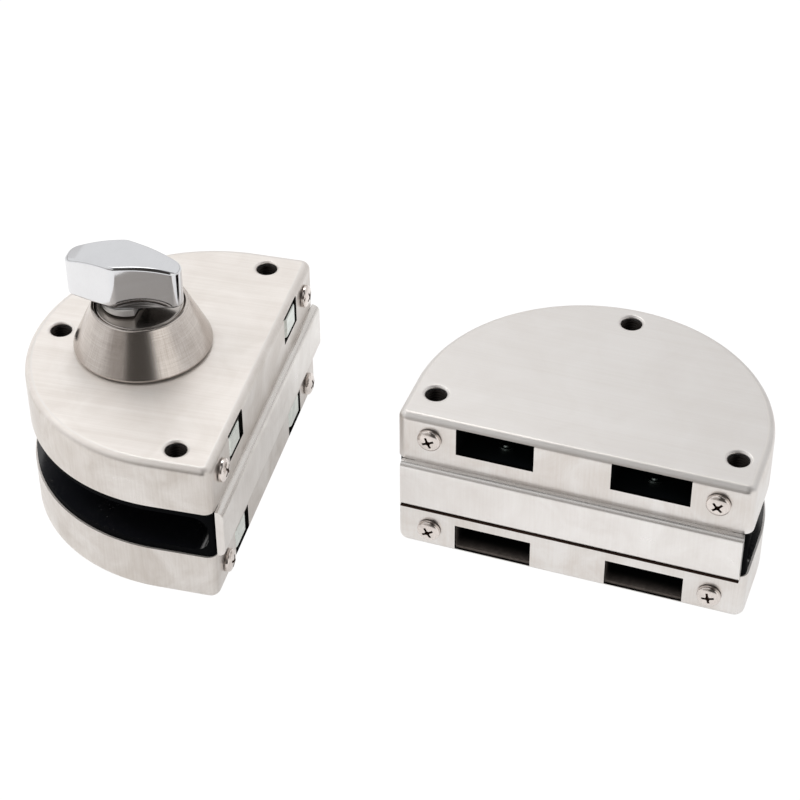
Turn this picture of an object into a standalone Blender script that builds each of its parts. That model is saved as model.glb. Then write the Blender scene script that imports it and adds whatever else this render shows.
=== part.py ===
"""Double glass door lock: a lock case with a thumb turn, and the keeper case it bolts into.

Each case clamps on the edge of a frameless glass leaf. Units are metres, +Z is up.
The origin is on the turning axis, on the lock case's rear face, which lies on the ground.
"""
import math

import bmesh
import bpy
from mathutils import Matrix, Vector

MM = 0.001

# Cases: a D in plan, flat side at y = 0, straight sides, then a half circle
CASE_WIDTH = 104.0 * MM
CASE_SIDE = 18.5 * MM
GLASS_SLOT = 12.0 * MM
CORNER_RADIUS = 3.0 * MM
INNER_CORNER = 0.6 * MM
COVER_WALL = 1.0 * MM
RIM_RADIUS = 2.4 * MM
FIT = 0.3 * MM

# Where the keeper case lies: its flat side's middle, seen from the lock's flat side
KEEPER_X = -19.3 * MM
KEEPER_Y = -95.5 * MM
KEEPER_TURN = math.radians(-95.4)

# Edge channel: a pressed hat section that stands proud between the covers
CHANNEL_PROUD = 2.5 * MM
CHANNEL_WEB = 2.4 * MM
CHANNEL_RETURN = 1.0 * MM
CHANNEL_FLANGE = 1.9 * MM
CHANNEL_SHOULDER = 1.2 * MM
CHANNEL_END_INSET = 1.8 * MM
FLANGE_END_INSET = 5.5 * MM
FLANGE_TOP_MARGIN = 0.85 * MM

# Rubber liner of the glass slot
LINER_INSET = 0.6 * MM
LINER_FLOOR = 2.1 * MM
LINER_WALL = 1.6 * MM
LINER_FILLET = 2.5 * MM

# Plates inside each half, counted outwards from the glass
PLATE_INSET = 0.6 * MM
PRESSURE_PLATE = 1.6 * MM
CHASSIS_FLOOR = 2.2 * MM
BOSS_RADIUS = 4.7 * MM
BOSS_TOP_MARGIN = 0.3 * MM
LUG_WIDTH = 9.6 * MM
LUG_DEPTH = 4.5 * MM
LUG_HEIGHT = 8.0 * MM
RIB_WALL = 1.5 * MM
RIB_LENGTH = 9.5 * MM
JOIN_DEPTH = 0.5 * MM

# Clamp screws: hexagon socket grub screws behind dimpled holes in the front cover
CLAMP_SIDE_INSET = 7.8 * MM
CLAMP_FLAT_INSET = 12.1 * MM
CLAMP_BACK_INSET = 7.9 * MM
CLAMP_RADIUS = 3.0 * MM
CLAMP_DEPTH = 7.0 * MM
CLAMP_SOCKET = 1.75 * MM
CLAMP_SOCKET_DEPTH = 3.5 * MM
ACCESS_RADIUS = 3.15 * MM
DIMPLE_RADIUS = 4.6 * MM
DIMPLE_DEPTH = 0.65 * MM

# Cover screws: cross recessed pan heads on the flat side
SCREW_SIDE_INSET = 10.0 * MM
SCREW_RISE = 8.8 * MM
SCREW_RADIUS = 2.0 * MM
SCREW_LENGTH = 6.5 * MM
HEAD_RADIUS = 3.5 * MM
HEAD_HEIGHT = 2.1 * MM
HEAD_EDGE = 0.8 * MM
RECESS_SPAN = 3.6 * MM
RECESS_WIDTH = 0.8 * MM
RECESS_DEPTH = 1.2 * MM
RECESS_ANGLE = math.radians(20)

# Windows in the flat sides
SCREW_TO_WINDOW = 7.8 * MM
LOCK_WINDOW_WIDTH = 12.8 * MM
KEEPER_WINDOW_WIDTH = 23.0 * MM
WINDOW_TOP_MARGIN = 2.25 * MM
WINDOW_HEADROOM = 0.8 * MM

# Keeper pockets
POCKET_WALL = 0.8 * MM
POCKET_ROOM = 5.7 * MM

# Bolts and the carriages that push them
BOLT_BASE_GAP = 0.6 * MM
BOLT_TOP_GAP = 1.1 * MM
BOLT_INNER_GAP = 2.3 * MM
BOLT_OUTER_GAP = 0.9 * MM
BOLT_SETBACK = 0.1 * MM
BOLT_LENGTH = 16.4 * MM
BOLT_CHAMFER = 0.4 * MM
EAR_LENGTH = 7.2 * MM
EAR_MARGIN = 0.4 * MM
CARRIAGE_WALL = 2.0 * MM
CROSSBAR = 5.0 * MM
CROSSBAR_LAP = 1.0 * MM
TONGUE_SIDE_WALL = 3.2 * MM
TONGUE_END_WALL = 2.2 * MM
TONGUE_RUN = 0.7 * MM

# Turning parts
KNOB_TURN = math.radians(90)
SPINDLE_RADIUS = 2.5 * MM
SPINDLE_RUN = 0.6 * MM
CRANK = 8.0 * MM
CAM_WALL = 2.8 * MM
CAM_HUB = 5.5 * MM
CAM_LIFT = 0.5 * MM
PIN_RADIUS = 1.8 * MM
PIN_RUN = 0.5 * MM
PIN_BOSS = 3.4 * MM
PLUG_RADIUS = 5.0 * MM
SLEEVE_RADIUS = 8.0 * MM
CIRCLIP_RADIUS = 4.6 * MM
CIRCLIP_WALL = 0.8 * MM

# Cylinder and its cone
CYLINDER_OFFSET = 3.8 * MM
CYLINDER_RADIUS = 13.0 * MM
CYLINDER_FLANGE = 3.5 * MM
CYLINDER_FLANGE_WALL = 3.55 * MM
CONE_RIM = 1.2 * MM
CONE_SPREAD = 6.0 * MM
CONE_HEIGHT = 14.6 * MM
CONE_EDGE = 0.4 * MM
CONE_RECESS = 0.9 * MM
LIP_WALL = 0.8 * MM
LIP_DROP = 0.3 * MM

# Knob: a long six-sided plan, widest just behind the axis, its top crowned along the length
KNOB_LIFT = 1.7 * MM
KNOB_HEIGHT = 14.7 * MM
KNOB_CROWN = 2.5 * MM
KNOB_HALF_WIDTH = 7.8 * MM
KNOB_WIDEST = 1.3 * MM
KNOB_HEEL = 17.5 * MM
KNOB_HEEL_HALF = 3.4 * MM
KNOB_TOE = 17.2 * MM
KNOB_TOE_HALF = 2.7 * MM
KNOB_END_RADIUS = 2.0 * MM
KNOB_SIDE_RADIUS = 3.0 * MM
KNOB_BORE_DEPTH = 5.9 * MM
COLLAR_RADIUS = 7.6 * MM
COLLAR_FLAT = 4.2 * MM

# Facets
ARC_STEPS = 22
CORNER_STEPS = 3
RIM_STEPS = 3
ROUND_STEPS = 18
CONE_STEPS = 32
HOLE_STEPS = 12
FILLET_STEPS = 3
CROWN_STEPS = 8
DOME_STEPS = 3

# Levels above the middle plane of a case, worked out from the glass outwards
LINER_FACE = GLASS_SLOT / 2
LINER_TOP = LINER_FACE + LINER_FLOOR
COVER_EDGE = LINER_TOP + FIT
PLATE_TOP = COVER_EDGE + PRESSURE_PLATE
FLOOR_BASE = PLATE_TOP + FIT
DECK = FLOOR_BASE + CHASSIS_FLOOR
CAM_BASE = DECK + FIT
CAM_TOP = CAM_BASE + CAM_WALL
CARRIAGE_BASE = CAM_TOP + CAM_LIFT
CARRIAGE_TOP = CARRIAGE_BASE + CARRIAGE_WALL
PIN_TOP = CARRIAGE_TOP + CAM_LIFT
CYLINDER_BASE = PIN_TOP + CAM_LIFT + FIT
INNER_TOP = CYLINDER_BASE + CYLINDER_FLANGE_WALL + FIT
MIDDLE = INNER_TOP + COVER_WALL
WINDOW_BASE = DECK + FIT + POCKET_WALL
WINDOW_TOP = MIDDLE - WINDOW_TOP_MARGIN
SCREW_LEVEL = COVER_EDGE + SCREW_RISE
CLAMP_TOP = MIDDLE - CLAMP_DEPTH

# Places across a case and depths from its flat side
HALF_WIDTH = CASE_WIDTH / 2
WEB_BACK = CHANNEL_WEB - CHANNEL_PROUD
FLANGE_FRONT = COVER_WALL + FIT
FLANGE_BACK = FLANGE_FRONT + CHANNEL_FLANGE
INNER_FRONT = FLANGE_BACK + FIT
SCREW_X = HALF_WIDTH - SCREW_SIDE_INSET
WINDOW_OUTER = SCREW_X - SCREW_TO_WINDOW
BOLT_INNER = WINDOW_OUTER - LOCK_WINDOW_WIDTH + BOLT_INNER_GAP
BOLT_OUTER = WINDOW_OUTER - BOLT_OUTER_GAP
CLAMP_X = HALF_WIDTH - CLAMP_SIDE_INSET
CLAMP_BACK_Y = CASE_SIDE + HALF_WIDTH - CLAMP_BACK_INSET
CLAMP_PLACES = [(-CLAMP_X, CLAMP_FLAT_INSET), (CLAMP_X, CLAMP_FLAT_INSET), (0.0, CLAMP_BACK_Y)]
THROW = 2 * CRANK * math.sin(KNOB_TURN / 2)
POCKET_DEPTH = THROW + POCKET_ROOM
CROSSBAR_FRONT = BOLT_SETBACK + BOLT_LENGTH - CROSSBAR_LAP
SPINDLE_SLOT = SPINDLE_RADIUS + SPINDLE_RUN
PIN_SLOT = PIN_RADIUS + PIN_RUN
TURN_Y = CLAMP_BACK_Y - BOSS_RADIUS - TONGUE_RUN - TONGUE_END_WALL - SPINDLE_SLOT - THROW
CYLINDER_Y = TURN_Y - CYLINDER_OFFSET
CYLINDER_BORE = CYLINDER_RADIUS + FIT
CONE_TOP_RADIUS = CYLINDER_BORE + CONE_RIM
CONE_BASE_RADIUS = CONE_TOP_RADIUS + CONE_SPREAD
CONE_TOP = MIDDLE + CONE_HEIGHT
KNOB_BASE = CONE_TOP + KNOB_LIFT
CUT = 2.0 * MM

parts = bpy.data.collections.new("double_glass_door_lock")
cutters = bpy.data.collections.new("cutters")


def clear_scene():
    for item in list(bpy.data.objects):
        bpy.data.objects.remove(item, do_unlink=True)
    bpy.context.scene.collection.children.link(parts)
    bpy.context.scene.collection.children.link(cutters)


def finish(name, color, metallic, roughness):
    material = bpy.data.materials.new(name)
    material.use_nodes = True
    shader = material.node_tree.nodes["Principled BSDF"]
    shader.inputs["Base Color"].default_value = (*color, 1.0)
    shader.inputs["Metallic"].default_value = metallic
    shader.inputs["Roughness"].default_value = roughness
    return material


FINISHES = {
    "stainless": ((0.74, 0.72, 0.70), 1.0, 0.34),
    "cone_steel": ((0.50, 0.47, 0.44), 1.0, 0.32),
    "chrome": ((0.86, 0.88, 0.91), 1.0, 0.07),
    "nickel": ((0.80, 0.74, 0.69), 1.0, 0.22),
    "zinc": ((0.78, 0.82, 0.79), 1.0, 0.30),
    "zinc_casting": ((0.55, 0.56, 0.57), 0.8, 0.50),
    "steel": ((0.55, 0.54, 0.53), 1.0, 0.35),
    "black_steel": ((0.05, 0.05, 0.05), 0.7, 0.40),
    "rubber": ((0.012, 0.013, 0.015), 0.0, 0.42),
    "black_plastic": ((0.015, 0.015, 0.016), 0.0, 0.50),
    "nylon": ((0.80, 0.79, 0.75), 0.0, 0.45),
}


def place(name, mesh, collection=parts):
    item = bpy.data.objects.new(name, mesh)
    collection.objects.link(item)
    return item


def cutter(name, mesh):
    item = place(name + "_cutter", mesh, cutters)
    item.hide_render = True
    item.display_type = "WIRE"
    return item


def box_mesh(low, high):
    """A box between two corners."""
    low, high = Vector(low), Vector(high)
    shape = bmesh.new()
    bmesh.ops.create_cube(shape, size=1.0)
    bmesh.ops.scale(shape, vec=high - low, verts=shape.verts)
    bmesh.ops.translate(shape, vec=(low + high) / 2, verts=shape.verts)
    mesh = bpy.data.meshes.new("box")
    shape.to_mesh(mesh)
    shape.free()
    return mesh


def rod_mesh(radius, low, high, x=0.0, y=0.0, top_radius=None, steps=HOLE_STEPS):
    """An upright cylinder or cone between two levels."""
    shape = bmesh.new()
    bmesh.ops.create_cone(shape, cap_ends=True, segments=steps, radius1=radius,
                          radius2=radius if top_radius is None else top_radius, depth=high - low)
    bmesh.ops.translate(shape, vec=(x, y, (low + high) / 2), verts=shape.verts)
    mesh = bpy.data.meshes.new("rod")
    shape.to_mesh(mesh)
    shape.free()
    return mesh


def along_y(mesh, x, y, z):
    """Lays a mesh that stands on +Z along -Y and moves it, so its top looks out of the flat side."""
    mesh.transform(Matrix.Translation((x, y, z)) @ Matrix.Rotation(math.pi / 2, 4, "X"))
    return mesh


def flat_mesh(outline, low, high):
    """A plate of the given outline, from a filled 2D curve, between two levels."""
    curve = bpy.data.curves.new("outline", "CURVE")
    curve.dimensions = "2D"
    curve.fill_mode = "BOTH"
    curve.extrude = (high - low) / 2
    spline = curve.splines.new("POLY")
    spline.points.add(len(outline) - 1)
    for point, (x, y) in zip(spline.points, outline):
        point.co = (x, y, 0.0, 1.0)
    spline.use_cyclic_u = True
    drawn = bpy.data.objects.new("outline", curve)
    bpy.context.scene.collection.objects.link(drawn)
    drawn.location.z = (low + high) / 2
    view = bpy.context.evaluated_depsgraph_get()
    mesh = bpy.data.meshes.new_from_object(drawn.evaluated_get(view))
    mesh.transform(drawn.matrix_world)
    bpy.data.objects.remove(drawn)
    bpy.data.curves.remove(curve)
    shape = bmesh.new()
    shape.from_mesh(mesh)
    bmesh.ops.remove_doubles(shape, verts=shape.verts, dist=0.00001)
    bmesh.ops.dissolve_limit(shape, angle_limit=0.001, verts=shape.verts, edges=shape.edges)
    bmesh.ops.recalc_face_normals(shape, faces=shape.faces)
    shape.to_mesh(mesh)
    shape.free()
    return mesh


def section_mesh(section, half_length):
    """A bar of the given (y, z) section along X."""
    mesh = flat_mesh(section, -half_length, half_length)
    mesh.transform(Matrix(((0, 0, 1, 0), (1, 0, 0, 0), (0, 1, 0, 0), (0, 0, 0, 1))))
    return mesh


def arc(x, y, radius, start, end, steps):
    turn = end - start
    return [(x + radius * math.cos(start + turn * step / steps),
             y + radius * math.sin(start + turn * step / steps)) for step in range(steps + 1)]


def d_outline(inset, front):
    """The case's plan, moved in by inset at the sides and back, with its flat side at front."""
    half = HALF_WIDTH - inset
    corner = max(CORNER_RADIUS - inset, INNER_CORNER)
    quarter = math.pi / 2
    points = arc(-half + corner, front + corner, corner, 2 * quarter, 3 * quarter, CORNER_STEPS)
    points += arc(half - corner, front + corner, corner, 3 * quarter, 4 * quarter, CORNER_STEPS)
    points += arc(0.0, CASE_SIDE, half, 0.0, 2 * quarter, ARC_STEPS)
    return points


def turned(name, profile, x=0.0, y=0.0, steps=ROUND_STEPS):
    """A body turned from (radius, level) points that run down its outer side."""
    mesh = bpy.data.meshes.new(name)
    edges = [(step, step + 1) for step in range(len(profile) - 1)]
    mesh.from_pydata([(radius, 0.0, level) for radius, level in profile], edges, [])
    item = place(name, mesh)
    item.location = (x, y, 0.0)
    screw = item.modifiers.new("turn", "SCREW")
    screw.steps = steps
    screw.render_steps = steps
    screw.use_merge_vertices = True
    screw.merge_threshold = 0.00001
    return item


def boolean(item, tool, operation="DIFFERENCE"):
    """Cuts or joins with a tool that takes the item's parent, so both lie in one frame."""
    step = item.modifiers.new(tool.name, "BOOLEAN")
    step.operation = operation
    step.object = tool
    step.solver = "EXACT"
    tool.parent = item.parent
    return item


def cut(item, mesh):
    return boolean(item, cutter(item.name, mesh))


def join(item, mesh):
    return boolean(item, cutter(item.name + "_joined", mesh), "UNION")


def dress(item, look):
    item.data.materials.clear()
    item.data.materials.append(finish(item.name + "_" + look, *FINISHES[look]))
    item.data.shade_smooth()
    item.data.set_sharp_from_angle(angle=math.radians(35))


def empty(name, parent=None, location=(0.0, 0.0, 0.0), turn=(0.0, 0.0, 0.0)):
    item = bpy.data.objects.new(name, None)
    parts.objects.link(item)
    item.location = location
    item.rotation_euler = turn
    item.parent = parent
    return item


def solid(name, mesh, parent, look):
    item = place(name, mesh)
    item.parent = parent
    dress(item, look)
    return item


def cover(name, half, window_width, access):
    """A pressed D-shaped cover: an open shell with a rounded rim, windows and screw holes."""
    shape = bmesh.new()
    shape.from_mesh(flat_mesh(d_outline(0.0, 0.0), COVER_EDGE, MIDDLE))
    bottom = [face for face in shape.faces if face.normal.z < -0.5]
    rim = [edge for edge in shape.edges if all(vert.co.z > INNER_TOP for vert in edge.verts)
           and len(edge.link_faces) == 2 and any(abs(face.normal.z) < 0.5 for face in edge.link_faces)]
    bmesh.ops.delete(shape, geom=bottom, context="FACES_ONLY")
    bmesh.ops.bevel(shape, geom=rim, offset=RIM_RADIUS, segments=RIM_STEPS, profile=0.5,
                    affect="EDGES", material=-1)
    mesh = bpy.data.meshes.new(name)
    shape.to_mesh(mesh)
    shape.free()
    item = solid(name, mesh, half, "stainless")
    wall = item.modifiers.new("wall", "SOLIDIFY")
    wall.thickness = COVER_WALL
    wall.offset = -1.0
    wall.use_even_offset = True
    for side in (-1, 1):
        cut(item, window_box(side, window_width, -CUT, RIM_RADIUS, top=WINDOW_TOP + WINDOW_HEADROOM))
        cut(item, along_y(rod_mesh(SCREW_RADIUS + FIT, -CUT, 2 * CUT),
                          side * SCREW_X, CUT, SCREW_LEVEL))
    if access:
        for x, y in CLAMP_PLACES:
            cut(item, rod_mesh(ACCESS_RADIUS, INNER_TOP - CUT, MIDDLE + CUT, x, y))
            cut(item, rod_mesh(ACCESS_RADIUS, MIDDLE - DIMPLE_DEPTH, MIDDLE + DIMPLE_DEPTH, x, y,
                               top_radius=2 * DIMPLE_RADIUS - ACCESS_RADIUS))
    return item


def window_box(side, width, front, back, margin=0.0, top=None):
    inner, outer = WINDOW_OUTER - width - margin, WINDOW_OUTER + margin
    low, high = sorted((side * inner, side * outer))
    base = WINDOW_BASE - margin
    return box_mesh((low, front, base), (high, back, WINDOW_TOP + margin if top is None else top))


def channel(name, case, window_width, window_margin):
    """The hat-section edge channel, in the case's own frame, middle plane at z = 0."""
    front = -CHANNEL_PROUD
    inner = LINER_TOP - CHANNEL_RETURN
    flange_top = INNER_TOP - FLANGE_TOP_MARGIN
    quarter = math.pi / 2
    upper = arc(front + CHANNEL_SHOULDER, LINER_TOP - CHANNEL_SHOULDER, CHANNEL_SHOULDER,
                2 * quarter, quarter, FILLET_STEPS)
    upper += [(FLANGE_FRONT, LINER_TOP), (FLANGE_FRONT, flange_top), (FLANGE_BACK, flange_top),
              (FLANGE_BACK, inner), (WEB_BACK, inner)]
    section = upper + [(y, -z) for y, z in reversed(upper)]
    item = solid(name, section_mesh(section, HALF_WIDTH - CHANNEL_END_INSET), case, "stainless")
    flange_end = HALF_WIDTH - FLANGE_END_INSET
    for side in (-1, 1):
        low, high = sorted((side * flange_end, side * (HALF_WIDTH + CUT)))
        cut(item, box_mesh((low, WEB_BACK, -MIDDLE), (high, FLANGE_BACK + CUT, MIDDLE)))
        for level in (-1, 1):
            hole = window_box(side, window_width, FLANGE_FRONT - FIT, FLANGE_BACK + CUT,
                              window_margin, MIDDLE)
            if level < 0:
                hole.transform(Matrix.Rotation(math.pi, 4, "Y"))
            cut(item, hole)
            cut(item, along_y(rod_mesh(SCREW_RADIUS + FIT, -2 * CUT, 2 * CUT),
                              side * SCREW_X, FLANGE_FRONT, level * SCREW_LEVEL))
    return item


def liner(name, case, spindle_hole):
    """The rubber U that lines the glass slot, with a concave corner along the closed side."""
    back = CASE_SIDE + HALF_WIDTH
    front = WEB_BACK + FIT
    face = front + LINER_WALL
    quarter = math.pi / 2
    upper = [(back, LINER_TOP), (back, LINER_FACE)]
    upper += arc(face + LINER_FILLET, LINER_FACE - LINER_FILLET, LINER_FILLET,
                 quarter, 2 * quarter, FILLET_STEPS)
    upper = [(front, LINER_TOP)] + upper
    section = upper + [(y, -z) for y, z in reversed(upper)]
    item = solid(name, section_mesh(section, HALF_WIDTH), case, "rubber")
    plan = cutter(name + "_plan", flat_mesh(d_outline(LINER_INSET, front), -MIDDLE, MIDDLE))
    boolean(item, plan, "INTERSECT")
    relief_x = HALF_WIDTH - FLANGE_END_INSET + FIT
    relief_z = LINER_TOP - CHANNEL_RETURN - FIT
    for level in (-1, 1):
        low, high = sorted((level * relief_z, level * MIDDLE))
        cut(item, box_mesh((-relief_x, front - CUT, low), (relief_x, INNER_FRONT, high)))
    if spindle_hole:
        cut(item, rod_mesh(SLEEVE_RADIUS + FIT, -MIDDLE, MIDDLE, 0.0, TURN_Y, steps=ROUND_STEPS))
    return item


def chassis(name, half, base, clamps, guides, spindle_hole):
    """A die-cast plate with lugs for the cover screws and bosses for the clamp screws."""
    outline = d_outline(COVER_WALL + PLATE_INSET, INNER_FRONT)
    item = solid(name, flat_mesh(outline, base, DECK), half, "zinc_casting")
    sunk = DECK - JOIN_DEPTH
    boss_top = INNER_TOP - BOSS_TOP_MARGIN
    lug_top = SCREW_LEVEL + LUG_HEIGHT / 2
    for side in (-1, 1):
        middle = side * SCREW_X
        join(item, box_mesh((middle - LUG_WIDTH / 2, INNER_FRONT + FIT, sunk),
                            (middle + LUG_WIDTH / 2, INNER_FRONT + LUG_DEPTH, lug_top)))
    if clamps:
        for x, y in CLAMP_PLACES:
            join(item, rod_mesh(BOSS_RADIUS, sunk, boss_top, x, y))
    if guides:
        rib_back = INNER_FRONT + RIB_LENGTH
        for side in (-1, 1):
            for inner, top in ((BOLT_INNER - BOLT_BASE_GAP - RIB_WALL, CARRIAGE_BASE - FIT),
                               (WINDOW_OUTER, boss_top)):
                low, high = sorted((side * inner, side * (inner + RIB_WALL)))
                join(item, box_mesh((low, INNER_FRONT + FIT, sunk), (high, rib_back, top)))
    if clamps:
        for x, y in CLAMP_PLACES:
            cut(item, rod_mesh(CLAMP_RADIUS + FIT, base - CUT, INNER_TOP + CUT, x, y))
    for side in (-1, 1):
        cut(item, along_y(rod_mesh(SCREW_RADIUS + FIT, -SCREW_LENGTH - FIT, SCREW_LENGTH),
                          side * SCREW_X, 0.0, SCREW_LEVEL))
    if spindle_hole:
        cut(item, rod_mesh(SPINDLE_RADIUS + FIT, base - CUT, DECK + CUT, 0.0, TURN_Y))
    return item


def pressure_plate(name, half, spindle_hole):
    outline = d_outline(COVER_WALL + PLATE_INSET, INNER_FRONT)
    item = solid(name, flat_mesh(outline, COVER_EDGE, PLATE_TOP), half, "steel")
    if spindle_hole:
        cut(item, rod_mesh(SPINDLE_RADIUS + FIT, 0.0, MIDDLE, 0.0, TURN_Y))
    return item


def clamp_screw(name, half, x, y):
    """A grub screw that presses the plate on the glass, with a hexagon socket."""
    item = solid(name, rod_mesh(CLAMP_RADIUS, FLOOR_BASE, CLAMP_TOP, x, y), half, "black_steel")
    socket = rod_mesh(CLAMP_SOCKET, CLAMP_TOP - CLAMP_SOCKET_DEPTH, CLAMP_TOP + CUT, x, y, steps=6)
    return cut(item, socket)


def cover_screw(name, half, x):
    """A pan-head screw along Y with a cross recess, its head outside the flat side."""
    seat = FIT
    top = seat + HEAD_HEIGHT
    dome = [(HEAD_RADIUS * math.sin(angle), seat + HEAD_EDGE + (HEAD_HEIGHT - HEAD_EDGE) * math.cos(angle))
            for angle in (math.pi / 2 * step / DOME_STEPS for step in range(DOME_STEPS + 1))]
    profile = dome + [(HEAD_RADIUS, seat), (SCREW_RADIUS, seat), (SCREW_RADIUS, -SCREW_LENGTH),
                      (0.0, -SCREW_LENGTH)]
    item = turned(name, profile, steps=HOLE_STEPS)
    item.location = (x, 0.0, SCREW_LEVEL)
    item.rotation_euler = (math.pi / 2, 0.0, 0.0)
    item.parent = half
    dress(item, "nickel")
    for angle in (0.0, math.pi / 2):
        slot = box_mesh((-RECESS_SPAN / 2, -RECESS_WIDTH / 2, top - RECESS_DEPTH),
                        (RECESS_SPAN / 2, RECESS_WIDTH / 2, top + CUT))
        slot.transform(Matrix.Rotation(angle + RECESS_ANGLE, 4, "Z"))
        cut(item, along_y(slot, x, 0.0, SCREW_LEVEL))
    return item


def pocket(name, half, side):
    """A black plastic pocket behind a keeper window, open to the flat side."""
    front = RIM_RADIUS + FIT
    outer = window_box(side, KEEPER_WINDOW_WIDTH, front, POCKET_DEPTH, POCKET_WALL)
    item = solid(name, outer, half, "black_plastic")
    hollow = window_box(side, KEEPER_WINDOW_WIDTH, front - CUT, POCKET_DEPTH - POCKET_WALL)
    return cut(item, hollow)


def bolt(name, slide, side):
    """A zinc-plated bolt, chamfered at its nose and slotted at its tail for the carriage's ear."""
    low, high = sorted((side * BOLT_INNER, side * BOLT_OUTER))
    shape = bmesh.new()
    shape.from_mesh(box_mesh((low, BOLT_SETBACK, WINDOW_BASE + BOLT_BASE_GAP),
                             (high, BOLT_SETBACK + BOLT_LENGTH, WINDOW_TOP - BOLT_TOP_GAP)))
    nose = [edge for edge in shape.edges if all(vert.co.y < BOLT_SETBACK + FIT for vert in edge.verts)]
    bmesh.ops.bevel(shape, geom=nose, offset=BOLT_CHAMFER, segments=1, profile=0.5,
                    affect="EDGES", material=-1)
    mesh = bpy.data.meshes.new(name)
    shape.to_mesh(mesh)
    shape.free()
    item = solid(name, mesh, slide, "zinc")
    tail = BOLT_SETBACK + BOLT_LENGTH
    return cut(item, box_mesh((low - CUT, tail - EAR_LENGTH - FIT, CARRIAGE_BASE - FIT),
                              (high + CUT, tail + CUT, CARRIAGE_TOP + FIT)))


def carriage(name, slide, pin_side):
    """A plate with an ear in each bolt and a cross slot for the cam's pin."""
    ear_front = BOLT_SETBACK + BOLT_LENGTH - EAR_LENGTH
    bar_back = CROSSBAR_FRONT + CROSSBAR
    slot_back = TURN_Y + THROW + SPINDLE_SLOT
    inner = BOLT_INNER + EAR_MARGIN
    outer = BOLT_OUTER - EAR_MARGIN
    half_tongue = CRANK + PIN_SLOT + TONGUE_SIDE_WALL
    right = [(half_tongue, slot_back + TONGUE_END_WALL), (half_tongue, bar_back), (outer, bar_back),
             (outer, ear_front), (inner, ear_front), (inner, CROSSBAR_FRONT)]
    outline = right + [(-x, y) for x, y in reversed(right)]
    item = solid(name, flat_mesh(outline, CARRIAGE_BASE, CARRIAGE_TOP), slide, "steel")
    cut(item, box_mesh((-SPINDLE_SLOT, TURN_Y - SPINDLE_SLOT, 0.0), (SPINDLE_SLOT, slot_back, MIDDLE)))
    pin_y = TURN_Y + THROW / 2
    low, high = sorted((0.0, pin_side * (CRANK + PIN_SLOT)))
    return cut(item, box_mesh((low, pin_y - PIN_SLOT, 0.0), (high, pin_y + PIN_SLOT, MIDDLE)))


def cam(name, turning, pin_side):
    """A crank on the spindle whose pin drives the carriage, in the half's frame about the axis."""
    start = KNOB_TURN / 2
    pin_x, pin_y = pin_side * CRANK * math.cos(start), CRANK * math.sin(start)
    item = solid(name, rod_mesh(CAM_HUB, CAM_BASE, CAM_TOP, steps=ROUND_STEPS), turning, "steel")
    join(item, rod_mesh(PIN_BOSS, CAM_BASE, CAM_TOP, pin_x, pin_y))
    arm = box_mesh((0.0, -PIN_RADIUS, CAM_BASE), (CRANK, PIN_RADIUS, CAM_TOP))
    arm.transform(Matrix.Rotation(math.atan2(pin_y, pin_x), 4, "Z"))
    join(item, arm)
    join(item, rod_mesh(PIN_RADIUS, CAM_TOP - JOIN_DEPTH, PIN_TOP, pin_x, pin_y))
    return cut(item, rod_mesh(SPINDLE_RADIUS + FIT, 0.0, MIDDLE))


def spindle(turning):
    """The rod through both halves, with the plug that turns in the cylinder."""
    knob_end = KNOB_BASE + KNOB_BORE_DEPTH - FIT
    plug_top = CONE_TOP - CONE_RECESS
    clip_low = PIN_TOP + FIT
    rear_end = clip_low + CIRCLIP_WALL + CAM_LIFT
    profile = [(0.0, knob_end), (SPINDLE_RADIUS, knob_end), (SPINDLE_RADIUS, plug_top),
               (PLUG_RADIUS, plug_top), (PLUG_RADIUS, CYLINDER_BASE), (SPINDLE_RADIUS, CYLINDER_BASE),
               (SPINDLE_RADIUS, -rear_end), (0.0, -rear_end)]
    item = turned("spindle", profile)
    item.parent = turning
    dress(item, "steel")
    ring = rod_mesh(CIRCLIP_RADIUS, -clip_low - CIRCLIP_WALL, -clip_low)
    clip = solid("spindle_circlip", ring, turning, "steel")
    cut(clip, rod_mesh(SPINDLE_RADIUS + FIT, -MIDDLE, 0.0))


def rounded(corners, steps):
    """A convex outline of (x, y, radius) corners, anticlockwise, with an arc at each corner."""
    points = []
    for number, (x, y, radius) in enumerate(corners):
        before = Vector(corners[number - 1][:2])
        after = Vector(corners[(number + 1) % len(corners)][:2])
        corner = Vector((x, y))
        inward, outward = (before - corner).normalized(), (after - corner).normalized()
        bend = inward.angle(outward) / 2
        centre = corner + (inward + outward).normalized() * radius / math.sin(bend)
        start = corner + inward * radius / math.tan(bend) - centre
        first = math.atan2(start.y, start.x)
        points += arc(centre.x, centre.y, radius, first, first + math.pi - 2 * bend, steps)
    return points


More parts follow.
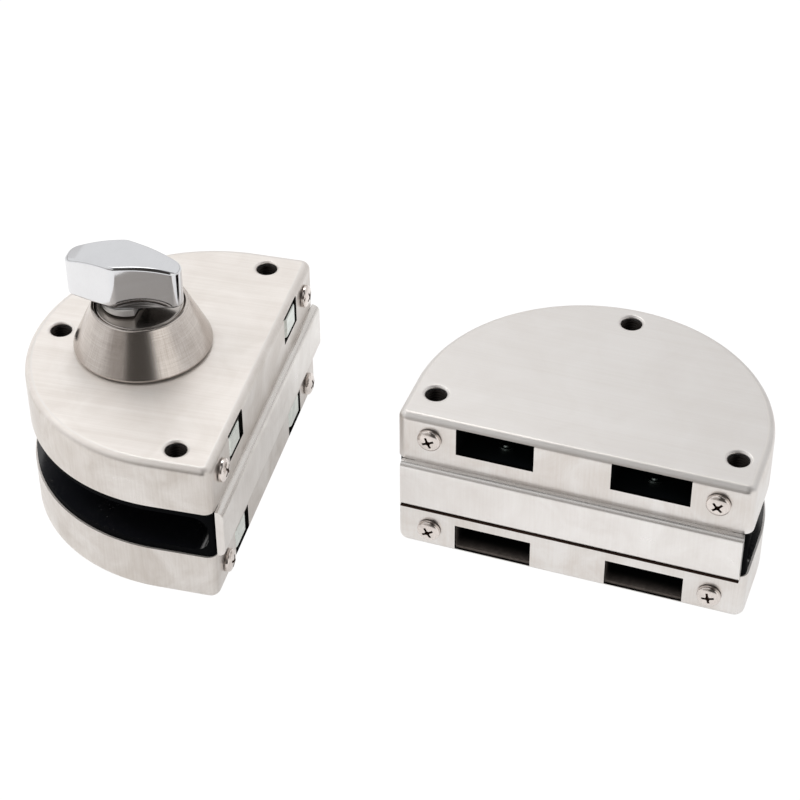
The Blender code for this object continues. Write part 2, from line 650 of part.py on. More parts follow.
def knob(turning):
    """The wing knob: a six-sided plan crowned along its length, on a round collar with a flat."""
    outline = rounded([(KNOB_HALF_WIDTH, KNOB_WIDEST, KNOB_SIDE_RADIUS),
                       (KNOB_HEEL_HALF, KNOB_HEEL, KNOB_END_RADIUS),
                       (-KNOB_HEEL_HALF, KNOB_HEEL, KNOB_END_RADIUS),
                       (-KNOB_HALF_WIDTH, KNOB_WIDEST, KNOB_SIDE_RADIUS),
                       (-KNOB_TOE_HALF, -KNOB_TOE, KNOB_END_RADIUS),
                       (KNOB_TOE_HALF, -KNOB_TOE, KNOB_END_RADIUS)], CORNER_STEPS)
    shape = bmesh.new()
    shape.from_mesh(flat_mesh(outline, KNOB_BASE, KNOB_BASE + KNOB_HEIGHT))
    for step in range(1, CROWN_STEPS):
        station = KNOB_HEEL - (KNOB_HEEL + KNOB_TOE) * step / CROWN_STEPS
        everything = shape.verts[:] + shape.edges[:] + shape.faces[:]
        bmesh.ops.bisect_plane(shape, geom=everything, dist=0.00001,
                               plane_co=(0, station, 0), plane_no=(0, 1, 0))
    for vert in shape.verts:
        if vert.co.z > KNOB_BASE + KNOB_HEIGHT / 2:
            vert.co.z -= KNOB_CROWN * (vert.co.y / KNOB_HEEL) ** 2
    mesh = bpy.data.meshes.new("knob")
    shape.to_mesh(mesh)
    shape.free()
    item = solid("knob", mesh, turning, "chrome")
    collar_base = CONE_TOP - CONE_RECESS + FIT
    disc = rod_mesh(COLLAR_RADIUS, collar_base, KNOB_BASE + JOIN_DEPTH, steps=ROUND_STEPS)
    collar = cutter("knob_collar", disc)
    collar.parent = turning
    cut(collar, box_mesh((-COLLAR_RADIUS - CUT, -COLLAR_RADIUS - CUT, MIDDLE),
                         (COLLAR_RADIUS + CUT, -COLLAR_FLAT, KNOB_BASE + CUT)))
    boolean(item, collar, "UNION")
    return cut(item, rod_mesh(SPINDLE_RADIUS + FIT, MIDDLE, KNOB_BASE + KNOB_BORE_DEPTH))


def cylinder(case):
    """The fixed lock cylinder: a flange under the front cover, and an off-centre bore for the plug."""
    top = CONE_TOP - CONE_RECESS
    lip = CONE_TOP - LIP_DROP
    flange = CYLINDER_RADIUS + CYLINDER_FLANGE
    profile = [(0.0, top), (CYLINDER_RADIUS - LIP_WALL, top), (CYLINDER_RADIUS - LIP_WALL, lip),
               (CYLINDER_RADIUS, lip), (CYLINDER_RADIUS, INNER_TOP - FIT),
               (flange, INNER_TOP - FIT), (flange, CYLINDER_BASE), (0.0, CYLINDER_BASE)]
    item = turned("cylinder_body", profile, y=CYLINDER_Y, steps=CONE_STEPS)
    item.parent = case
    dress(item, "cone_steel")
    return cut(item, rod_mesh(PLUG_RADIUS + FIT, 0.0, top + CUT, 0.0, TURN_Y, steps=ROUND_STEPS))


def cone(case):
    """The turned escutcheon that covers the cylinder."""
    base = MIDDLE + FIT
    profile = [(CYLINDER_BORE, CONE_TOP), (CONE_TOP_RADIUS - CONE_EDGE, CONE_TOP),
               (CONE_TOP_RADIUS, CONE_TOP - CONE_EDGE), (CONE_BASE_RADIUS, base + CONE_EDGE),
               (CONE_BASE_RADIUS, base), (CYLINDER_BORE, base), (CYLINDER_BORE, CONE_TOP)]
    item = turned("escutcheon_cone", profile, y=CYLINDER_Y, steps=CONE_STEPS)
    item.parent = case
    dress(item, "cone_steel")


def sleeve(case):
    """The nylon sleeve round the spindle, in the glass leaf's hole."""
    tube = rod_mesh(SLEEVE_RADIUS, -LINER_TOP, LINER_TOP, 0.0, TURN_Y, steps=ROUND_STEPS)
    item = solid("spindle_sleeve", tube, case, "nylon")
    cut(item, rod_mesh(SPINDLE_RADIUS + FIT, -LINER_TOP - CUT, LINER_TOP + CUT, 0.0, TURN_Y))


def case_shell(prefix, case, front, rear, window_width, window_margin, spindle_hole):
    """The pieces that both cases share."""
    cover(prefix + "_front_cover", front, window_width, True)
    cover(prefix + "_rear_cover", rear, window_width, False)
    if spindle_hole:
        seat = rod_mesh(CYLINDER_BORE, INNER_TOP - CUT, MIDDLE + CUT, 0.0, CYLINDER_Y, steps=CONE_STEPS)
        cut(bpy.data.objects[prefix + "_front_cover"], seat)
    channel(prefix + "_edge_channel", case, window_width, window_margin)
    liner(prefix + "_glass_liner", case, spindle_hole)
    pressure_plate(prefix + "_pressure_plate", front, spindle_hole)
    chassis(prefix + "_front_chassis", front, FLOOR_BASE, True, spindle_hole, spindle_hole)
    chassis(prefix + "_rear_chassis", rear, COVER_EDGE, False, spindle_hole, spindle_hole)
    for number, (x, y) in enumerate(CLAMP_PLACES, 1):
        clamp_screw(f"{prefix}_clamp_screw_{number}", front, x, y)
    for half_name, half, right in halves(front, rear):
        for side_name, side in (("left", -right), ("right", right)):
            cover_screw(f"{prefix}_{half_name}_screw_{side_name}", half, side * SCREW_X)


def case_frame(prefix, location, turn):
    """An empty on the case's middle plane, and one for each half, the rear one turned over."""
    case = empty(prefix + "_case", None, location, (0.0, 0.0, turn))
    front = empty(prefix + "_front_half", case)
    rear = empty(prefix + "_rear_half", case, turn=(0.0, math.pi, 0.0))
    return case, front, rear


def halves(front, rear):
    """Each half with the way its X runs, because the rear one is turned over about Y."""
    return (("front", front, 1), ("rear", rear, -1))


def lock_case():
    case, front, rear = case_frame("lock", (0.0, -TURN_Y, MIDDLE), 0.0)
    case_shell("lock", case, front, rear, LOCK_WINDOW_WIDTH, FIT, True)
    turning = empty("turn_axis", None, (0.0, 0.0, MIDDLE))
    turning_rear = empty("turn_axis_rear", turning, turn=(0.0, math.pi, 0.0))
    knob(turning)
    spindle(turning)
    cam("front_cam", turning, -1)
    cam("rear_cam", turning_rear, 1)
    for half_name, half, right in halves(front, rear):
        slide = empty(half_name + "_bolts_slide", half)
        carriage(half_name + "_carriage", slide, -right)
        for side_name, side in (("left", -right), ("right", right)):
            bolt(f"{half_name}_bolt_{side_name}", slide, side)
    cylinder(case)
    cone(case)
    sleeve(case)


def keeper_case():
    location = (KEEPER_X, KEEPER_Y - TURN_Y, MIDDLE)
    case, front, rear = case_frame("keeper", location, KEEPER_TURN)
    case_shell("keeper", case, front, rear, KEEPER_WINDOW_WIDTH, POCKET_WALL + FIT, False)
    for half_name, half, right in halves(front, rear):
        for side_name, side in (("left", -right), ("right", right)):
            pocket(f"keeper_{half_name}_pocket_{side_name}", half, side)


clear_scene()
lock_case()
keeper_case()
bpy.context.view_layer.update()
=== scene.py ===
"""Looks of the double glass door lock: fine covers, channels, liners, knob, screws and bolts.

Every piece is modelled in its case's own frame: X along the flat side, Y into the case, Z up from
the middle of the glass slot. Sizes are metres.
"""
import math

import bmesh
import bpy
from mathutils import Matrix, Vector


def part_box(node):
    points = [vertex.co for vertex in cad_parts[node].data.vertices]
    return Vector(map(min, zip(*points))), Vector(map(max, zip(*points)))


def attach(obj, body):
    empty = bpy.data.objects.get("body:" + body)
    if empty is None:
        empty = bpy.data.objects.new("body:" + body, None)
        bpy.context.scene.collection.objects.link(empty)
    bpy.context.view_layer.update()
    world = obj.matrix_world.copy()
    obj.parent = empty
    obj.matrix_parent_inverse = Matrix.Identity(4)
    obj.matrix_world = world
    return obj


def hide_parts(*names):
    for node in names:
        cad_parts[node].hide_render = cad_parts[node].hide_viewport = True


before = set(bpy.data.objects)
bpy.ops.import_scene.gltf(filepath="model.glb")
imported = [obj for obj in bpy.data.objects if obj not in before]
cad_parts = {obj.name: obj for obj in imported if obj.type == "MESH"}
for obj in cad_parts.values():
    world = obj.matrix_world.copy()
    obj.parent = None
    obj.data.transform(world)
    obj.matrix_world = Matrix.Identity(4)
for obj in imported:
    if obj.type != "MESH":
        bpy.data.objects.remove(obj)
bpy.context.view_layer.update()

MM = 0.001
QUARTER = math.pi / 2

# Places read from the frame
cover_low, cover_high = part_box("lock_front_cover")
channel_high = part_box("lock_edge_channel")[1]
liner_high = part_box("lock_glass_liner")[1]
cone_low, cone_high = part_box("escutcheon_cone")
cylinder_low, cylinder_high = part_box("cylinder_body")
knob_low, knob_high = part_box("knob")
screw_low, screw_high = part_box("lock_front_screw_right")
bolt_low, bolt_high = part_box("front_bolt_right")
grub_low, grub_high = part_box("lock_clamp_screw_1")

TURN_Y = -cover_low.y
MIDDLE = cover_high.z / 2
HALF_WIDTH = cover_high.x
CASE_DEPTH = cover_high.y - cover_low.y
COVER_EDGE = cover_low.z - MIDDLE
COVER_TOP = cover_high.z - MIDDLE
LINER_TOP = liner_high.z - MIDDLE
SCREW_X = (screw_low.x + screw_high.x) / 2
SCREW_LEVEL = (screw_low.z + screw_high.z) / 2 - MIDDLE
CYLINDER_Y = (cylinder_low.y + cylinder_high.y) / 2 + TURN_Y
CONE_TOP = cone_high.z - MIDDLE

# Where the keeper case lies, in the lock case's frame
KEEPER_X = -19.3 * MM
KEEPER_Y = -95.5 * MM
KEEPER_TURN = math.radians(-95.4)

# Sizes of shapes that the solids show with few facets
CASE_SIDE = CASE_DEPTH - HALF_WIDTH
CORNER_RADIUS = 3.0 * MM
COVER_WALL = 1.0 * MM
RIM_RADIUS = 2.4 * MM
EDGE_DROP = 0.26 * MM
WINDOW_OUTER = 34.2 * MM
LOCK_WINDOW_WIDTH = 12.8 * MM
KEEPER_WINDOW_WIDTH = 23.0 * MM
WINDOW_BASE = 13.6 * MM
WINDOW_TOP = 22.8 * MM
SCREW_HOLE = 2.3 * MM
ACCESS_RADIUS = 3.15 * MM
ACCESS_PLACES = ((-44.2 * MM, 12.1 * MM), (44.2 * MM, 12.1 * MM), (0.0, 62.6 * MM))
DIMPLE_RADIUS = 4.4 * MM
DIMPLE_DEPTH = 0.8 * MM
CYLINDER_SEAT = 13.3 * MM
CHANNEL_PROUD = 2.5 * MM
CHANNEL_WEB = 2.4 * MM
CHANNEL_RETURN = 1.0 * MM
LOCK_SHOULDER = 2.2 * MM
KEEPER_SHOULDER = 1.8 * MM
FLANGE_FRONT = 1.3 * MM
FLANGE_BACK = 3.2 * MM
FLANGE_END = 46.5 * MM
LINER_INSET = 0.6 * MM
LINER_FLOOR = 2.1 * MM
LINER_WALL = 1.6 * MM
LINER_FILLET = 4.6 * MM
SLEEVE_HOLE = 8.3 * MM
POCKET_DEPTH = 17.0 * MM
POCKET_WALL = 0.8 * MM
WINDOW_HEADROOM = 0.8 * MM
STUD_PLACES = (("left", -21.4 * MM), ("right", 22.1 * MM))
STUD_DEPTH = 8.0 * MM
# Size of the black strip under the keeper's band, which is painted shade
SHADE_LINE_HEIGHT = 0.20 * MM
SHADE_LINE_REACH = 2.44 * MM
CLEARANCE = 0.3 * MM
WELD = 0.000001

# Camera, from the picture
LENS = 104.34
CAMERA_PLACE = (-506.28 * MM, -210.95 * MM, 465.93 * MM)
CAMERA_PITCH = 39.10
CAMERA_AZIMUTH = 75.68
CAMERA_ROLL = -0.40

LOCK = Matrix.Translation((0.0, -TURN_Y, MIDDLE))
KEEPER = LOCK @ Matrix.Translation((KEEPER_X, KEEPER_Y, 0.0)) @ Matrix.Rotation(KEEPER_TURN, 4, "Z")
HERE = Matrix.Identity(4)
FRONT = HERE
REAR = Matrix.Rotation(math.pi, 4, "Y")
HALVES = (("front", FRONT, 1), ("rear", REAR, -1))


# Shader helpers

def material(name, color, metallic, roughness, **sockets):
    """A Principled material, its node tree and its shader."""
    made = bpy.data.materials.new(name)
    made.use_nodes = True
    tree = made.node_tree
    shader = tree.nodes["Principled BSDF"]
    shader.inputs["Base Color"].default_value = (*color, 1.0)
    shader.inputs["Metallic"].default_value = metallic
    shader.inputs["Roughness"].default_value = roughness
    for socket, value in sockets.items():
        shader.inputs[socket.replace("_", " ")].default_value = value
    return made, tree, shader


def coordinates(tree, matrix=None, scale=(1.0, 1.0, 1.0)):
    """Object coordinates, turned into a piece's own frame and stretched."""
    place = tree.nodes.new("ShaderNodeTexCoord")
    turned = tree.nodes.new("ShaderNodeMapping")
    turned.vector_type = "TEXTURE"
    where, turn, _ = (matrix or HERE).decompose()
    turned.inputs["Location"].default_value = where
    turned.inputs["Rotation"].default_value = turn.to_euler()
    stretched = tree.nodes.new("ShaderNodeMapping")
    stretched.inputs["Scale"].default_value = scale
    tree.links.new(place.outputs["Object"], turned.inputs["Vector"])
    tree.links.new(turned.outputs["Vector"], stretched.inputs["Vector"])
    return stretched.outputs["Vector"]


def noise(tree, vector, scale, detail=4.0, rough=0.5, distortion=0.0):
    texture = tree.nodes.new("ShaderNodeTexNoise")
    texture.inputs["Scale"].default_value = scale
    texture.inputs["Detail"].default_value = detail
    texture.inputs["Roughness"].default_value = rough
    texture.inputs["Distortion"].default_value = distortion
    tree.links.new(vector, texture.inputs["Vector"])
    return texture.outputs["Fac"]


def between(tree, value, low, high, start=0.0, end=1.0):
    """Maps a value from one span to another, clamped."""
    span = tree.nodes.new("ShaderNodeMapRange")
    span.inputs["From Min"].default_value = start
    span.inputs["From Max"].default_value = end
    span.inputs["To Min"].default_value = low
    span.inputs["To Max"].default_value = high
    tree.links.new(value, span.inputs["Value"])
    return span.outputs["Result"]


def blended(tree, factor, first, second, mode="MIX"):
    """Two colours or colour outputs, mixed by a value."""
    mix = tree.nodes.new("ShaderNodeMix")
    mix.data_type = "RGBA"
    mix.blend_type = mode
    for socket, value in ((mix.inputs[6], first), (mix.inputs[7], second)):
        if isinstance(value, tuple):
            socket.default_value = (*value, 1.0)
        else:
            tree.links.new(value, socket)
    if isinstance(factor, float):
        mix.inputs[0].default_value = factor
    else:
        tree.links.new(factor, mix.inputs[0])
    return mix.outputs[2]


def computed(tree, operation, first, second):
    math_node = tree.nodes.new("ShaderNodeMath")
    math_node.operation = operation
    for socket, value in zip(math_node.inputs, (first, second)):
        if isinstance(value, float):
            socket.default_value = value
        else:
            tree.links.new(value, socket)
    return math_node.outputs[0]


def weighed(tree, *shares):
    """The sum of values, each times its own weight."""
    total = None
    for value, weight in shares:
        part = computed(tree, "MULTIPLY", value, weight)
        total = part if total is None else computed(tree, "ADD", total, part)
    return total


def components(tree, vector):
    """The X, Y and Z outputs of a vector."""
    apart = tree.nodes.new("ShaderNodeSeparateXYZ")
    tree.links.new(vector, apart.inputs["Vector"])
    return apart.outputs


def joined(tree, *shares):
    """A vector of up to three outputs."""
    vector = tree.nodes.new("ShaderNodeCombineXYZ")
    for share, socket in zip(shares, vector.inputs):
        tree.links.new(share, socket)
    return vector.outputs["Vector"]


def vector_math(tree, operation, first, second=None):
    """One step with a vector output and, where it needs one, a fixed second vector."""
    step = tree.nodes.new("ShaderNodeVectorMath")
    step.operation = operation
    tree.links.new(first, step.inputs[0])
    if second is not None:
        step.inputs[1].default_value = second
    return step.outputs


def smoothly(tree, value, start, end):
    """From 0 to 1 between two values, with soft ends."""
    span = tree.nodes.new("ShaderNodeMapRange")
    span.interpolation_type = "SMOOTHSTEP"
    span.inputs["From Min"].default_value = start
    span.inputs["From Max"].default_value = end
    tree.links.new(value, span.inputs["Value"])
    return span.outputs["Result"]


def mixed(tree, share, first, second):
    """Two shaders, mixed by a share."""
    mix = tree.nodes.new("ShaderNodeMixShader")
    for value, socket in zip((share, first, second), mix.inputs):
        tree.links.new(value, socket)
    return mix.outputs["Shader"]


def ray_kinds(tree):
    """The share of rays from the camera, and of those that mirror or pass through a surface."""
    path = tree.nodes.new("ShaderNodeLightPath").outputs
    mirrored = computed(tree, "ADD", path["Is Glossy Ray"], path["Is Transmission Ray"])
    return path["Is Camera Ray"], computed(tree, "MINIMUM", mirrored, 1.0)


def bumped(tree, shader, height, strength, distance):
    bump = tree.nodes.new("ShaderNodeBump")
    bump.inputs["Strength"].default_value = strength
    bump.inputs["Distance"].default_value = distance
    tree.links.new(height, bump.inputs["Height"])
    tree.links.new(bump.outputs["Normal"], shader.inputs["Normal"])


# Finishes

LOCK_LIGHT = (0.76, 0.73, 0.705)
LOCK_DARK = (0.58, 0.535, 0.495)
CHANNEL_LIGHT = (0.84, 0.815, 0.79)
CHANNEL_DARK = (0.70, 0.665, 0.635)
KEEPER_LIGHT = (0.89, 0.87, 0.855)
KEEPER_DARK = (0.75, 0.70, 0.66)
BAND_LIGHT = (0.93, 0.91, 0.895)
BAND_DARK = (0.83, 0.795, 0.77)
# A lighter colour along the start of each rounded rim: a painted highlight
RIM_HIGHLIGHT_COLOR = (0.82, 0.79, 0.765)
CREASE_START = 0.92
CREASE_FULL = 0.975
CREASE_END = 0.993
CREASE_POLISH = 0.05
TOP_METAL = 0.74
WALL_METAL = 0.96
TOP_ROUGH = 0.46
SHELF_ROUGH = 0.27
WALL_ROUGH = 0.31


def steepness(tree):
    """How far a surface faces up or down: 1 on the tops, 0 on the walls."""
    normal = tree.nodes.new("ShaderNodeNewGeometry").outputs["Normal"]
    return computed(tree, "ABSOLUTE", components(tree, normal)["Z"], 0.0)


def brushed_steel(name, matrix, grain, contrast, light, dark, top_painted_light, top_rough=TOP_ROUGH, rim_highlight_share=1.0):
    """Satin stainless steel: straight grain on the tops, scratched and smudged walls, and smoother rim edges with a
    painted highlight; the tops are painted lighter or darker than the walls.
    """
    made, tree, shader = material(name, light, 0.78, 0.35)
    fine = noise(tree, coordinates(tree, matrix, grain), 1.0, 6.0, 0.62)
    wide = noise(tree, coordinates(tree, matrix, tuple(0.16 * share for share in grain)), 1.0, 3.0, 0.5, 0.4)
    cloud = noise(tree, coordinates(tree, matrix), 62.0, 5.0, 0.6, 1.0)
    upright = noise(tree, coordinates(tree, matrix, (1500.0, 1500.0, 70.0)), 1.0, 5.0, 0.65)
    facing = steepness(tree)
    on_top = between(tree, facing, 0.0, 1.0, 0.35, 0.65)
    streak = between(tree, fine, 0.0, 1.0, 0.32, 0.68)
    mottle = between(tree, wide, 0.0, 1.0, 0.32, 0.68)
    smudge = between(tree, cloud, 0.0, 1.0, 0.36, 0.66)
    scratch = between(tree, upright, 0.0, 1.0, 0.34, 0.66)
    top_wear = weighed(tree, (streak, 0.35), (mottle, 0.25), (smudge, 0.40))
    wall_wear = weighed(tree, (scratch, 0.30), (smudge, 0.70))
    # The tops' colours are scaled by the top factor: painted light that makes them lighter or darker than the walls
    top_light = tuple(top_painted_light * bright for bright in light)
    top_dark = tuple(top_painted_light * (bright - contrast * (bright - dull)) for bright, dull in zip(light, dark))
    top_color = blended(tree, top_wear, top_dark, top_light)
    wall_color = blended(tree, wall_wear, dark, light)
    satin = blended(tree, on_top, wall_color, top_color)
    # A lighter band where each rim starts to round: a painted highlight, where the steel is also smoother
    painted_rim_highlight = computed(tree, "MULTIPLY", between(tree, facing, 0.0, 1.0, CREASE_START, CREASE_FULL),
                      between(tree, facing, rim_highlight_share, 0.0, CREASE_END, 0.9995))
    tree.links.new(blended(tree, painted_rim_highlight, satin, RIM_HIGHLIGHT_COLOR), shader.inputs["Base Color"])
    tree.links.new(between(tree, on_top, WALL_METAL, TOP_METAL), shader.inputs["Metallic"])
    satin_rough = computed(tree, "ADD", between(tree, on_top, WALL_ROUGH, top_rough),
                           between(tree, top_wear, 0.05, -0.05))
    tree.links.new(computed(tree, "SUBTRACT", satin_rough, computed(tree, "MULTIPLY", painted_rim_highlight, CREASE_POLISH)),
                   shader.inputs["Roughness"])
    grooves = computed(tree, "ADD", computed(tree, "MULTIPLY", fine, on_top),
                       computed(tree, "MULTIPLY", upright, computed(tree, "SUBTRACT", 1.0, on_top)))
    bumped(tree, shader, grooves, 0.05, 0.00006)
    return made


ALONG_X = (25.0, 1500.0, 1500.0)
ALONG_Y = (1500.0, 25.0, 1500.0)
RING_GRAIN = 2600.0


def turned_steel(name, centre_y, dark, light, rough):
    """Steel finished on a lathe: grain in rings round an upright axis, warm and darker."""
    made, tree, shader = material(name, light, 1.0, rough)
    vector = coordinates(tree, LOCK @ Matrix.Translation((0.0, centre_y, 0.0)))
    place = components(tree, vector)
    radius = vector_math(tree, "LENGTH", joined(tree, place["X"], place["Y"]))["Value"]
    angle = computed(tree, "ARCTAN2", place["Y"], place["X"])
    rings = joined(tree, computed(tree, "MULTIPLY", radius, RING_GRAIN),
                   computed(tree, "MULTIPLY", place["Z"], RING_GRAIN), computed(tree, "MULTIPLY", angle, 1.2))
    upright = joined(tree, computed(tree, "MULTIPLY", angle, 38.0), computed(tree, "MULTIPLY", place["Z"], 130.0))
    fine = noise(tree, rings, 1.0, 5.0, 0.6)
    cloud = noise(tree, vector, 90.0, 3.0, 0.5)
    patch = noise(tree, vector, 190.0, 5.0, 0.6, 0.5)
    wipe = noise(tree, upright, 1.0, 4.0, 0.6, 0.4)
    wear = weighed(tree, *((between(tree, mark, 0.0, 1.0, 0.3, 0.7), weight)
                           for mark, weight in ((fine, 0.27), (cloud, 0.25), (patch, 0.20), (wipe, 0.28))))
    tree.links.new(blended(tree, wear, dark, light), shader.inputs["Base Color"])
    tree.links.new(between(tree, wear, rough + 0.04, rough - 0.04), shader.inputs["Roughness"])
    bumped(tree, shader, fine, 0.08, 0.00005)
    return made


def plated(name, color, rough, marks=0.06, metal=1.0):
    """Bright plating with faint clouding and hairline marks."""
    made, tree, shader = material(name, color, metal, rough)
    vector = coordinates(tree)
    cloud = noise(tree, vector, 160.0, 4.0, 0.55)
    hair = noise(tree, coordinates(tree, None, (1.0, 14.0, 3.0)), 260.0, 3.0, 0.7)
    tint = between(tree, computed(tree, "ADD", cloud, hair), 0.0, 1.0, 0.7, 1.2)
    dull = tuple((1.0 - 2 * marks) * share for share in color)
    tree.links.new(blended(tree, tint, dull, color), shader.inputs["Base Color"])
    tree.links.new(between(tree, cloud, rough, rough + marks, 0.35, 0.75), shader.inputs["Roughness"])
    bumped(tree, shader, cloud, 0.05, 0.00005)
    return made


def rubber():
    """Black rubber, smooth, with specks of dust."""
    made, tree, shader = material("black_rubber", (0.010, 0.011, 0.014), 0.0, 0.34, Specular_IOR_Level=0.9)
    vector = coordinates(tree)
    dust_and_light = noise(tree, vector, 950.0, 5.0, 0.65)
    cloud = noise(tree, vector, 45.0, 3.0, 0.5)
    amount = computed(tree, "MULTIPLY", between(tree, dust_and_light, 0.0, 1.0, 0.52, 0.80),
                      between(tree, cloud, 0.0, 1.0, 0.4, 0.7))
    tree.links.new(blended(tree, amount, (0.006, 0.0065, 0.0085), (0.034, 0.031, 0.029)),
                   shader.inputs["Base Color"])
    tree.links.new(between(tree, amount, 0.15, 0.55), shader.inputs["Roughness"])
    bumped(tree, shader, dust_and_light, 0.05, 0.0001)
    return made


def moulded(name, color, rough, gloss=0.30):
    """Plain moulded plastic or rubber with a fine spark-eroded skin."""
    made, tree, shader = material(name, color, 0.0, rough, Specular_IOR_Level=gloss)
    vector = coordinates(tree)
    skin = noise(tree, vector, 900.0, 3.0, 0.6)
    cloud = noise(tree, vector, 70.0, 3.0, 0.5)
    pale = tuple(min(1.0, 1.5 * share) for share in color)
    tree.links.new(blended(tree, between(tree, cloud, 0.0, 1.0, 0.4, 0.7), color, pale),
                   shader.inputs["Base Color"])
    tree.links.new(between(tree, skin, rough - 0.08, rough + 0.08), shader.inputs["Roughness"])
    bumped(tree, shader, skin, 0.15, 0.00008)
    return made


def mouth_lit_cup(name):
    """Black plastic, lighter and browner towards its open end: painted light that falls in at the opening, broken
    up by a fine grit.
    """
    made, tree, shader = material(name, (0.012, 0.011, 0.010), 0.0, 0.60, Specular_IOR_Level=0.15)
    inside = components(tree, coordinates(tree, KEEPER))
    grit = noise(tree, coordinates(tree), 700.0, 4.0, 0.6)
    # Lighter towards the opening and darker deeper in: painted light
    reach = between(tree, inside["Y"], 1.0, 0.0, 0.5 * MM, 6.0 * MM)
    dust_and_light = computed(tree, "MULTIPLY", computed(tree, "POWER", reach, 1.8), between(tree, grit, 0.6, 1.0, 0.3, 0.7))
    tree.links.new(blended(tree, dust_and_light, (0.004, 0.0038, 0.0035), (0.26, 0.225, 0.205)), shader.inputs["Base Color"])
    tree.links.new(between(tree, grit, 0.50, 0.72), shader.inputs["Roughness"])
    bumped(tree, shader, grit, 0.12, 0.0001)
    return made


def cast_zinc():
    """Die-cast zinc: grey, slightly rough, with flow marks."""
    made, tree, shader = material("cast_zinc", (0.42, 0.43, 0.44), 0.9, 0.48)
    vector = coordinates(tree)
    flow = noise(tree, vector, 110.0, 5.0, 0.6, 1.2)
    grit = noise(tree, vector, 1400.0, 2.0, 0.5)
    tree.links.new(blended(tree, flow, (0.34, 0.35, 0.36), (0.52, 0.53, 0.54)), shader.inputs["Base Color"])
    tree.links.new(between(tree, flow, 0.58, 0.40, 0.3, 0.7), shader.inputs["Roughness"])
    bumped(tree, shader, grit, 0.20, 0.0001)
    return made


# The number after the dark colour scales the tops, which is painted light: the lock's tops lighter than its walls,
# the keeper's tops and its band's shelf darker. The channels' last number turns the painted rim highlight off.
lock_steel = brushed_steel("lock_steel", LOCK, ALONG_Y, 0.60, LOCK_LIGHT, LOCK_DARK, 1.19)
keeper_steel = brushed_steel("keeper_steel", KEEPER, ALONG_X, 0.35, KEEPER_LIGHT, KEEPER_DARK, 0.90)
lock_channel_steel = brushed_steel("lock_channel_steel", LOCK, ALONG_X, 0.8, CHANNEL_LIGHT, CHANNEL_DARK,
                                   1.0, SHELF_ROUGH, 0.0)
keeper_channel_steel = brushed_steel("keeper_channel_steel", KEEPER, ALONG_X, 0.5, BAND_LIGHT, BAND_DARK,
                                     0.80, SHELF_ROUGH, 0.0)
cone_steel = turned_steel("cone_steel", CYLINDER_Y, (0.43, 0.38, 0.345), (0.76, 0.71, 0.67), 0.22)
# Darker than the cone: partly the cylinder's own tone, partly painted shade under the knob
cylinder_steel = turned_steel("cylinder_steel", CYLINDER_Y, (0.44, 0.405, 0.38), (0.62, 0.585, 0.555), 0.19)
chrome = plated("knob_chrome", (0.77, 0.78, 0.805), 0.06, 0.02)
collar_steel = plated("collar_steel", (0.86, 0.84, 0.82), 0.34, 0.06, 0.35)
# Near black on the knob's underside: painted shade, which the dished face below mirrors as dark
knob_underside_shade = plated("knob_underside_shade", (0.05, 0.047, 0.045), 0.22, 0.04)
nickel = plated("screw_nickel", (0.85, 0.785, 0.745), 0.15, 0.10)
recess_steel = plated("recess_steel", (0.24, 0.165, 0.13), 0.34, 0.10)
zinc = plated("bolt_zinc", (0.80, 0.84, 0.80), 0.26, 0.12)
plain_steel = plated("plain_steel", (0.50, 0.49, 0.48), 0.30, 0.12)
# Near black on the windows' cut faces: painted shade along the window edges
window_edge_shade = plated("window_edge_shade", (0.020, 0.019, 0.018), 0.50, 0.12)
# Near-black steel on the grub screws and the thread in the access holes: painted shade that keeps the holes dark
black_steel = plated("black_steel", (0.030, 0.026, 0.024), 0.36, 0.14)
liner_rubber = rubber()
# A brownish-black strip, painted shade: the dark line under the keeper's band
shade_line_rubber = moulded("shade_line_rubber", (0.026, 0.014, 0.010), 0.75, 0.05)
trimmed_rubber = moulded("trimmed_rubber", (0.0025, 0.0028, 0.0035), 0.75, 0.03)
pocket_plastic = moulded("pocket_plastic", (0.0035, 0.0042, 0.005), 0.50, 0.12)
mouth_lit_plastic = mouth_lit_cup("mouth_lit_plastic")
stud_steel = plated("stud_steel", (0.34, 0.40, 0.375), 0.20, 0.10)
sleeve_nylon = moulded("sleeve_nylon", (0.74, 0.72, 0.66), 0.45)
casting = cast_zinc()


# Mesh helpers

def linked(name, data):
    """A new object with the given data, in the scene."""
    made = bpy.data.objects.new(name, data)
    bpy.context.scene.collection.objects.link(made)
    return made


def to_piece(name, shape, matrix, finish, sharp=40.0):
    """A bmesh as a finished object at the origin, its place in its mesh."""
    bmesh.ops.transform(shape, matrix=matrix, verts=shape.verts)
    mesh = bpy.data.meshes.new(name)
    shape.to_mesh(mesh)
    shape.free()
    mesh.materials.append(finish)
    mesh.shade_smooth()
    mesh.set_sharp_from_angle(angle=math.radians(sharp))
    return linked(name, mesh)


def settle(piece):
    """Applies the modifiers of a piece."""
    view = bpy.context.evaluated_depsgraph_get()
    mesh = bpy.data.meshes.new_from_object(piece.evaluated_get(view), preserve_all_data_layers=True, depsgraph=view)
    piece.modifiers.clear()
    piece.data = mesh
    mesh.name = piece.name
    return piece


def carved(piece, tools, operation="DIFFERENCE", finish=None):
    """Cuts a piece with bmeshes in its own frame, which are then thrown away."""
    if finish and finish.name not in piece.data.materials:
        piece.data.materials.append(finish)
    cutters = []
    for tool, matrix in tools:
        cutter = to_piece("cutter", tool, matrix, piece.data.materials[0])
        for face in cutter.data.polygons:
            face.material_index = 1 if finish else 0
        step = piece.modifiers.new("cut", "BOOLEAN")
        step.operation = operation
        step.solver = "EXACT"
        step.object = cutter
        cutters.append(cutter)
    settle(piece)
    for cutter in cutters:
        bpy.data.objects.remove(cutter)
    return piece


